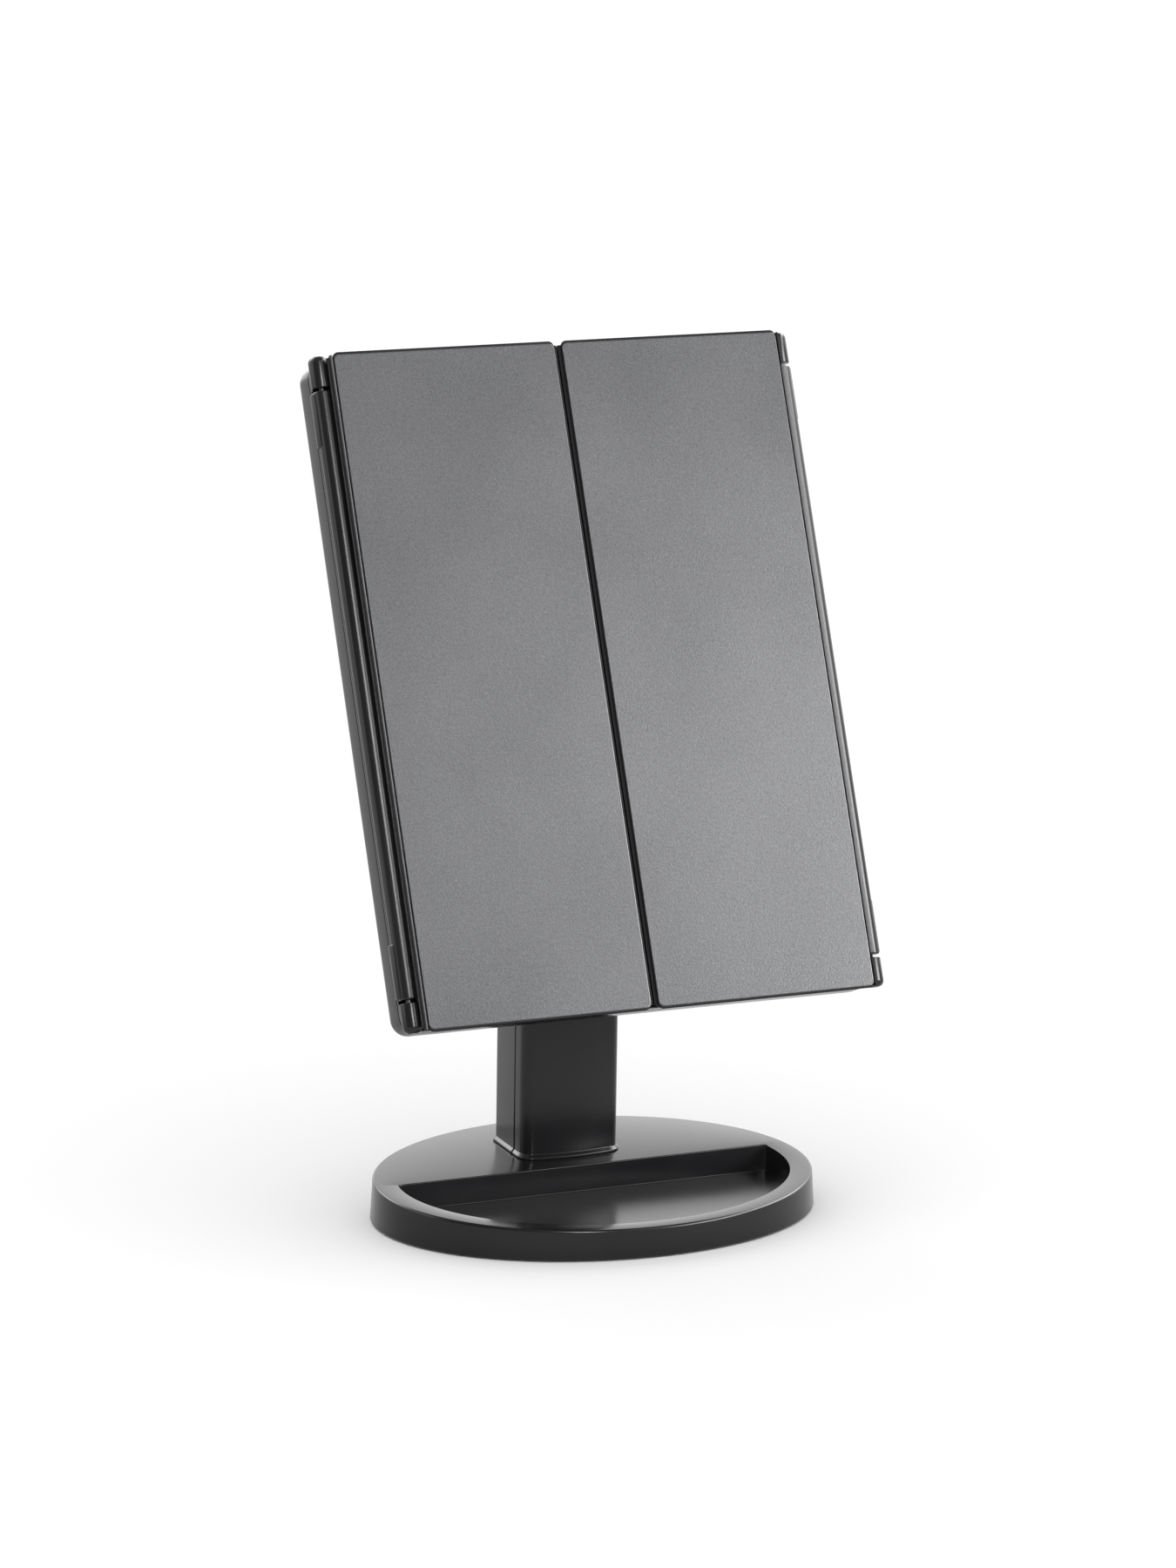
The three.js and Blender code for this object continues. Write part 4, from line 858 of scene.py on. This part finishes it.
def cover_rim(cover_a, cover_b):
    """The frame's black edge that shows above and below the cover, dull so that it also paints the shade of the
    gap beside it.
    """
    near, far = cover_a.y + 0.4 * MM, cover_b.y + COVER_GAP - 0.05 * MM
    strips = []
    for z1, z2 in ((cover_b.z - RIM_REACH, cover_b.z + RIM_PROUD),
                   (cover_a.z - RIM_UNDER, cover_a.z + RIM_REACH)):
        strip = plate(Vector((cover_a.x, near, z1)), Vector((cover_b.x, far, z2)), 2 * MM, 0.2 * MM)
        opening = plate(cover_a - Vector((0, MM, 0)), cover_b + Vector((0, MM, 0)), 2 * MM, 0.01 * MM)
        strips.append(cut(strip, opening))
    return joined(*strips)


def meeting_edge(side, cover_a, cover_b):
    """A dull black strip on the free edge that closes most of the slit between the wings and paints the shade
    inside it.
    """
    inner = min(abs(cover_a.x), abs(cover_b.x)) + MM
    return slab(side, (HALF_SLIT, inner), (cover_b.y + 0.05 * MM, cover_b.y + EDGE_DEPTH),
                (cover_a.z + UNDER_INSET + 0.1 * MM, cover_b.z - FRAME_INSET - 0.1 * MM), 0.25 * MM, 0.1 * MM)


# %% Both wings
COVER_FACE = 0.01  # faces larger than this, the fronts of the covers, keep a crisp rim
LIP_WIDTH = {"left": 0.8 * MM, "right": 1.7 * MM}
CHEEK = 0.8 * MM
glass_of = {"left": ["left_wing_mirror_lower", "left_wing_mirror_upper"], "right": ["right_wing_mirror"]}
for word, side in SIDES.items():
    body = f"{word}_wing"
    low, high = panel_box(f"{word}_wing_cover")
    piece(f"{word}_frame", wing_frame(side, low, high, glass_of[word]), body, GLOSS, [f"{word}_wing_frame"])
    piece(f"{word}_cover", plate(low, high, 2 * MM, 0.35 * MM), body, GRAINED, [f"{word}_wing_cover"],
          flat_area=COVER_FACE)
    # The rim, the meeting edge and the cheeks below are painted shade: dull black strips that stand in for the
    # shade in the gaps round the cover.
    piece(f"{word}_cover_rim", cover_rim(low, high), body, SHADE_PAINTED)
    piece(f"{word}_meeting_edge", meeting_edge(side, low, high), body, SHADE_PAINTED)
    lip_stop = BARREL_END if word == "right" else 0
    piece(f"{word}_lip", wing_lip(side, low, high, LIP_WIDTH[word], lip_stop), body, GRAINED)
    # Painted shade: where the lip stops short, dull black cheeks beside the barrel's ends stand in for the shade
    # of the gap between cover and knuckle.
    if lip_stop:
        middle = block((-FAR, -FAR, low.z + lip_stop - 0.1 * MM), (FAR, FAR, high.z - lip_stop + 0.1 * MM))
        piece(f"{word}_cheeks", cut(wing_lip(side, low, high, CHEEK, 0), middle), body, SHADE_PAINTED)
    for node in glass_of[word]:
        pane(node.replace("_wing_mirror", "_glass"), node, body, 0.4 * MM)

# %% [markdown]
# ## Screws
#
# All the screws that show are alike: a pan head with a cross slot. One Geometry Nodes tree makes them
# from a turned profile. It places one on each point of a small cloud, and each body gets its own mesh.

# %% One screw, and a tree that places its copies
def screw_head(radius, height):
    """One screw head with a cross slot, pointing along +z, its rim rounded."""
    top = [(r, height - rise) for r, rise in reversed(rim(radius, height * 0.6, 5))]
    profile = [(radius, 0), *top, (radius * 0.3, height)]
    reach, half, floor_z, top_z = radius * 0.62, radius * 0.16, height * 0.45, height * 2
    return cut(turned(profile, UPRIGHT, 32), block((-reach, -half, floor_z), (reach, half, top_z)),
               block((-half, -reach, floor_z), (half, reach, top_z)))


def screws_at(points, radius, height, turn):
    """Screw heads on the given points, all turned the same way."""
    original = as_object(screw_head(radius, height), "screw_original")
    tree, given = new_tree("screws", [("Scale", "Float", 1.0)])
    source = add_node(tree, "GeometryNodeObjectInfo", {"Object": original})
    repeat_on_points(tree, given["Geometry"], source.outputs["Geometry"], zinc_steel, given["Scale"])
    cloud = bpy.data.meshes.new("points")
    cloud.from_pydata([turn.inverted() @ Vector(point) for point in points], [], [])
    result = grown_by_nodes(tree, cloud, {"Scale": 1.0}, original)
    result.transform(turn)
    return result


# %% Screws of the head, the bracket and the base
BACKWARDS = Matrix.Rotation(math.radians(-90), 4, "X")
DOWNWARDS = Matrix.Rotation(math.radians(180), 4, "X")
SCREW_RADIUS, SCREW_HEIGHT, LOW_SCREW_HEIGHT = 2.8 * MM, 2 * MM, 0.6 * MM
rear_screws = [f"cover_screw_{i}" for i in range(1, 5)] + ["bracket_screw_1", "bracket_screw_2"]
seats = [((low.x + high.x) / 2, high.y - SCREW_HEIGHT, (low.z + high.z) / 2)
         for low, high in map(panel_box, rear_screws)]
piece("head_screws", screws_at(seats, SCREW_RADIUS, SCREW_HEIGHT, BACKWARDS), "head", STEEL, rear_screws)
base_screws = ["base_screw_1", "base_screw_2"]
seats = [((low.x + high.x) / 2, (low.y + high.y) / 2, low.z + LOW_SCREW_HEIGHT)
         for low, high in map(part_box, base_screws)]
piece("base_screws", screws_at(seats, SCREW_RADIUS, LOW_SCREW_HEIGHT, DOWNWARDS), "stand", STEEL, base_screws)

# %% [markdown]
# ## Pieces that keep their CAD shape
#
# The hidden works and the small fittings already have the right shape: cells, contacts, washers, pins,
# circuit boards, the slide switch and the power inlet. They only need their finish.

# %% Printed sleeve of the cells
cell_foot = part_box("battery_1")[0].z
BAND_STARTS, CELLS_TOP = (0, 16 * MM, 30 * MM), 101 * MM
SLEEVE, SLEEVE_BAND = (0.05, 0.07, 0.09), (0.3, 0.34, 0.36)
cell_wrap, tree, shader = finish_of("cell_sleeve")
where = add_node(tree, "ShaderNodeTexCoord", {}).outputs["Object"]
split = add_node(tree, "ShaderNodeSeparateXYZ", {"Vector": where})
height = add_node(tree, "ShaderNodeMapRange", {"Value": split.outputs["Z"], "From Min": cell_foot,
                                               "From Max": cell_foot + CELLS_TOP})
bands = add_node(tree, "ShaderNodeValToRGB", {"Fac": height.outputs["Result"]})
bands.color_ramp.interpolation = "CONSTANT"
bands.color_ramp.elements.new(1.0)
for element, colour, start in zip(bands.color_ramp.elements, (SLEEVE, SLEEVE_BAND, SLEEVE), BAND_STARTS):
    element.position, element.color = start / CELLS_TOP, (*colour, 1)
feed(tree, shader, {"Base Color": bands.outputs["Color"],
                    "Roughness": spread(tree, noise(tree, 200, 2), 0.31, 0.39)})
bumped(tree, shader, noise(tree, 900, 1), 0.2, 0.00001)

# %% Finishes for the remaining nodes
finish_by_start = {
    "battery_": cell_wrap, "ballast": raw_iron, "usb_socket": zinc_steel, "usb_tongue": gloss_black,
    "contact_": zinc_steel, "switch_housing": gloss_black, "switch_knob": satin_black,
    "tilt_pin": zinc_steel, "friction_washer": zinc_steel, "hinge_pin": dark_steel,
    "stem_screw": zinc_steel, "touch_pad": bare_copper, "control_board": green_board,
    "led_board": white_board,
}
remaining = {name: node for name, node in nodes.items() if not node.hide_render}
for name, node in remaining.items():
    start = next(key for key in finish_by_start if name.startswith(key))
    node.data.materials.clear()
    node.data.materials.append(finish_by_start[start])
print("CAD nodes given a finish:", len(remaining))

# %% [markdown]
# ## The floor
#
# A wide white floor takes the object's soft shadow. It has no gloss at all, so nothing is mirrored in it.

# %% Floor
FLOOR_HALF, FLOOR_DEPTH = 12.0, 0.01
floor_white, tree, shader = finish_of("white_floor")
feed(tree, shader, {"Base Color": (0.96, 0.96, 0.96, 1), "Roughness": 0.9, "Specular IOR Level": 0.0})
corners = [(FLOOR_HALF * x, FLOOR_HALF * y) for x, y in ((-1, -1), (1, -1), (1, 1), (-1, 1))]
floor = as_object(skin([lifted(corners, z) for z in (-FLOOR_DEPTH, 0.0)]), "floor")
floor.data.materials.append(floor_white)

# %% [markdown]
# ## Surroundings
#
# Black plastic shows its form only through what it reflects. A studio has a dim room in front, white walls
# behind and bright panels high up, and each makes its own highlight. The world does the same: matt surfaces
# see an even white, and gloss sees zones that depend only on the direction of its reflection.

# %% Nodes that draw zones
def either(tree, first, second):
    return add_node(tree, "ShaderNodeMath", {0: first, 1: second}, operation="MAXIMUM").outputs[0]


def ranged(tree, value, start, end, low, high):
    """low until value reaches start, high from end on, and a soft step between them."""
    inputs = {"Value": value, "From Min": start, "From Max": end, "To Min": low, "To Max": high}
    return add_node(tree, "ShaderNodeMapRange", inputs, interpolation_type="SMOOTHSTEP").outputs["Result"]


# %% Surroundings
LIGHTING = 1.13
ROOM_FRONT, ROOM_BEHIND, ROOM_ABOVE = 0.2, 2.2, 2.2
HIGH_GLOSS, EDGE_GLOSS, ZENITH = 9.0, 12.0, 0.5
STEPS = {  # where each soft step starts and ends, as a part of the direction
    "backwards": ("Y", -0.15, 0.12), "rightwards": ("X", -0.05, 0.35), "upwards": ("Z", 0.0, 0.45),
    "leftwards": ("X", -0.15, 0.05), "far_back": ("Y", 0.4, 0.75), "above_left_panel": ("Z", 0.3, 0.4),
    "far_right": ("X", 0.5, 0.72), "above_right_panel": ("Z", 0.35, 0.48), "zenith": ("Z", 0.7, 0.82),
}
world = bpy.data.worlds.new("white_surroundings")
world.use_nodes = True
bpy.context.scene.world = world
tree = world.node_tree
ray = add_node(tree, "ShaderNodeLightPath", {}).outputs
direction = add_node(tree, "ShaderNodeTexCoord", {}).outputs["Generated"]
split = add_node(tree, "ShaderNodeSeparateXYZ", {"Vector": direction})


def step(name, low, high):
    axis, start, end = STEPS[name]
    return ranged(tree, split.outputs[axis], start, end, low, high)


overhead = step("upwards", 0.0, step("rightwards", 0.0, ROOM_ABOVE))
high_left = step("above_left_panel", 0.0, step("far_back", 0.0, step("leftwards", HIGH_GLOSS, 0.0)))
high_right = step("above_right_panel", 0.0, step("far_right", 0.0, EDGE_GLOSS))
room = step("backwards", ROOM_FRONT, ROOM_BEHIND)
for zone in (overhead, high_left, high_right):
    room = either(tree, room, zone)
room = step("zenith", room, ZENITH)
level = ranged(tree, either(tree, ray["Is Glossy Ray"], ray["Is Transmission Ray"]), 0.0, 1.0, LIGHTING, room)
level = ranged(tree, ray["Is Camera Ray"], 0.0, 1.0, level, 1.0)
feed(tree, tree.nodes["Background"], {"Color": (1, 1, 1, 1), "Strength": level})

# %% [markdown]
# ## Lamps
#
# Three weak lamps add what even light can't. A panel on the right lays a soft gradient over the covers
# alone, a second lights all but the covers, and a tall strip draws a thin line down the barrels. None of
# them lights the floor.

# %% Lamps
LAMP_SPREAD = math.radians(43)


def light_set(name, objects, state):
    """Objects that a lamp lights alone (INCLUDE) or leaves out (EXCLUDE)."""
    made = bpy.data.collections.new(name)
    for each in objects:
        made.objects.link(each)
    for entry in made.collection_objects:
        entry.light_linking.link_state = state
    return made


def panel_light(name, place, aim, width, height, power, lit):
    """A rectangular lamp. Its place and its aim are measured from the middle of the head."""
    light = bpy.data.lights.new(name, "AREA")
    light.shape = "RECTANGLE"
    light.size, light.size_y = width, height
    light.energy = power
    light.spread = LAMP_SPREAD
    lamp = linked(name, light)
    lamp.location = head_middle + Vector(place)
    lamp.light_linking.receiver_collection = lit
    lamp.rotation_euler = (head_middle + Vector(aim) - lamp.location).to_track_quat("-Z", "Y").to_euler()


head_middle = PANEL @ ((panel_box("left_wing_cover")[0] + panel_box("right_wing_cover")[1]) / 2)
covers = [bpy.data.objects["left_cover"], bpy.data.objects["right_cover"]]
only_covers = light_set("only_covers", covers, "INCLUDE")
all_but_covers = light_set("all_but_covers", [floor, *covers], "EXCLUDE")
all_but_floor = light_set("all_but_floor", [floor], "EXCLUDE")
panel_light("cover_panel", (0.62, -0.46, 0.1), (0.04, 0, 0), 0.38, 0.38, 2.7, only_covers)
panel_light("front_panel", (0.5, -0.55, 0.22), (0, 0, 0.02), 0.5, 0.5, 1.17, all_but_covers)
panel_light("barrel_strip", (-0.13, -0.88, 0.45), (0, 0, 0), 0.2, 0.7, 0.75, all_but_floor)

# %% [markdown]
# ## The camera
#
# A long lens from a little above and to the left, so that upright edges stay nearly parallel.

# %% Camera
VIEW_TURN, VIEW_RISE, VIEW_ROLL = math.radians(-25.22), math.radians(12.24), math.radians(0.89)
VIEW_DISTANCE = 2.2084
AIM = Vector((0, 0, 0.1524))
SENSOR, LENS, SHIFT_X, SHIFT_Y = 36, 144.47, -0.00733, 0.005
back = Vector((math.sin(VIEW_TURN) * math.cos(VIEW_RISE), -math.cos(VIEW_TURN) * math.cos(VIEW_RISE),
               math.sin(VIEW_RISE)))
level_right = Vector((0, 0, 1)).cross(back).normalized()
level_up = back.cross(level_right)
right = level_right * math.cos(VIEW_ROLL) + level_up * math.sin(VIEW_ROLL)
camera_data = bpy.data.cameras.new("camera")
camera_data.sensor_width, camera_data.lens = SENSOR, LENS
camera_data.shift_x, camera_data.shift_y = SHIFT_X, SHIFT_Y
camera_data.clip_start, camera_data.clip_end = 0.05, 60
camera = linked("camera", camera_data)
camera.location = AIM + back * VIEW_DISTANCE
camera.rotation_mode = "QUATERNION"
camera.rotation_quaternion = Matrix((right, back.cross(right), back)).transposed().to_quaternion()
bpy.context.scene.camera = camera
bpy.context.scene.view_settings.view_transform = "Standard"
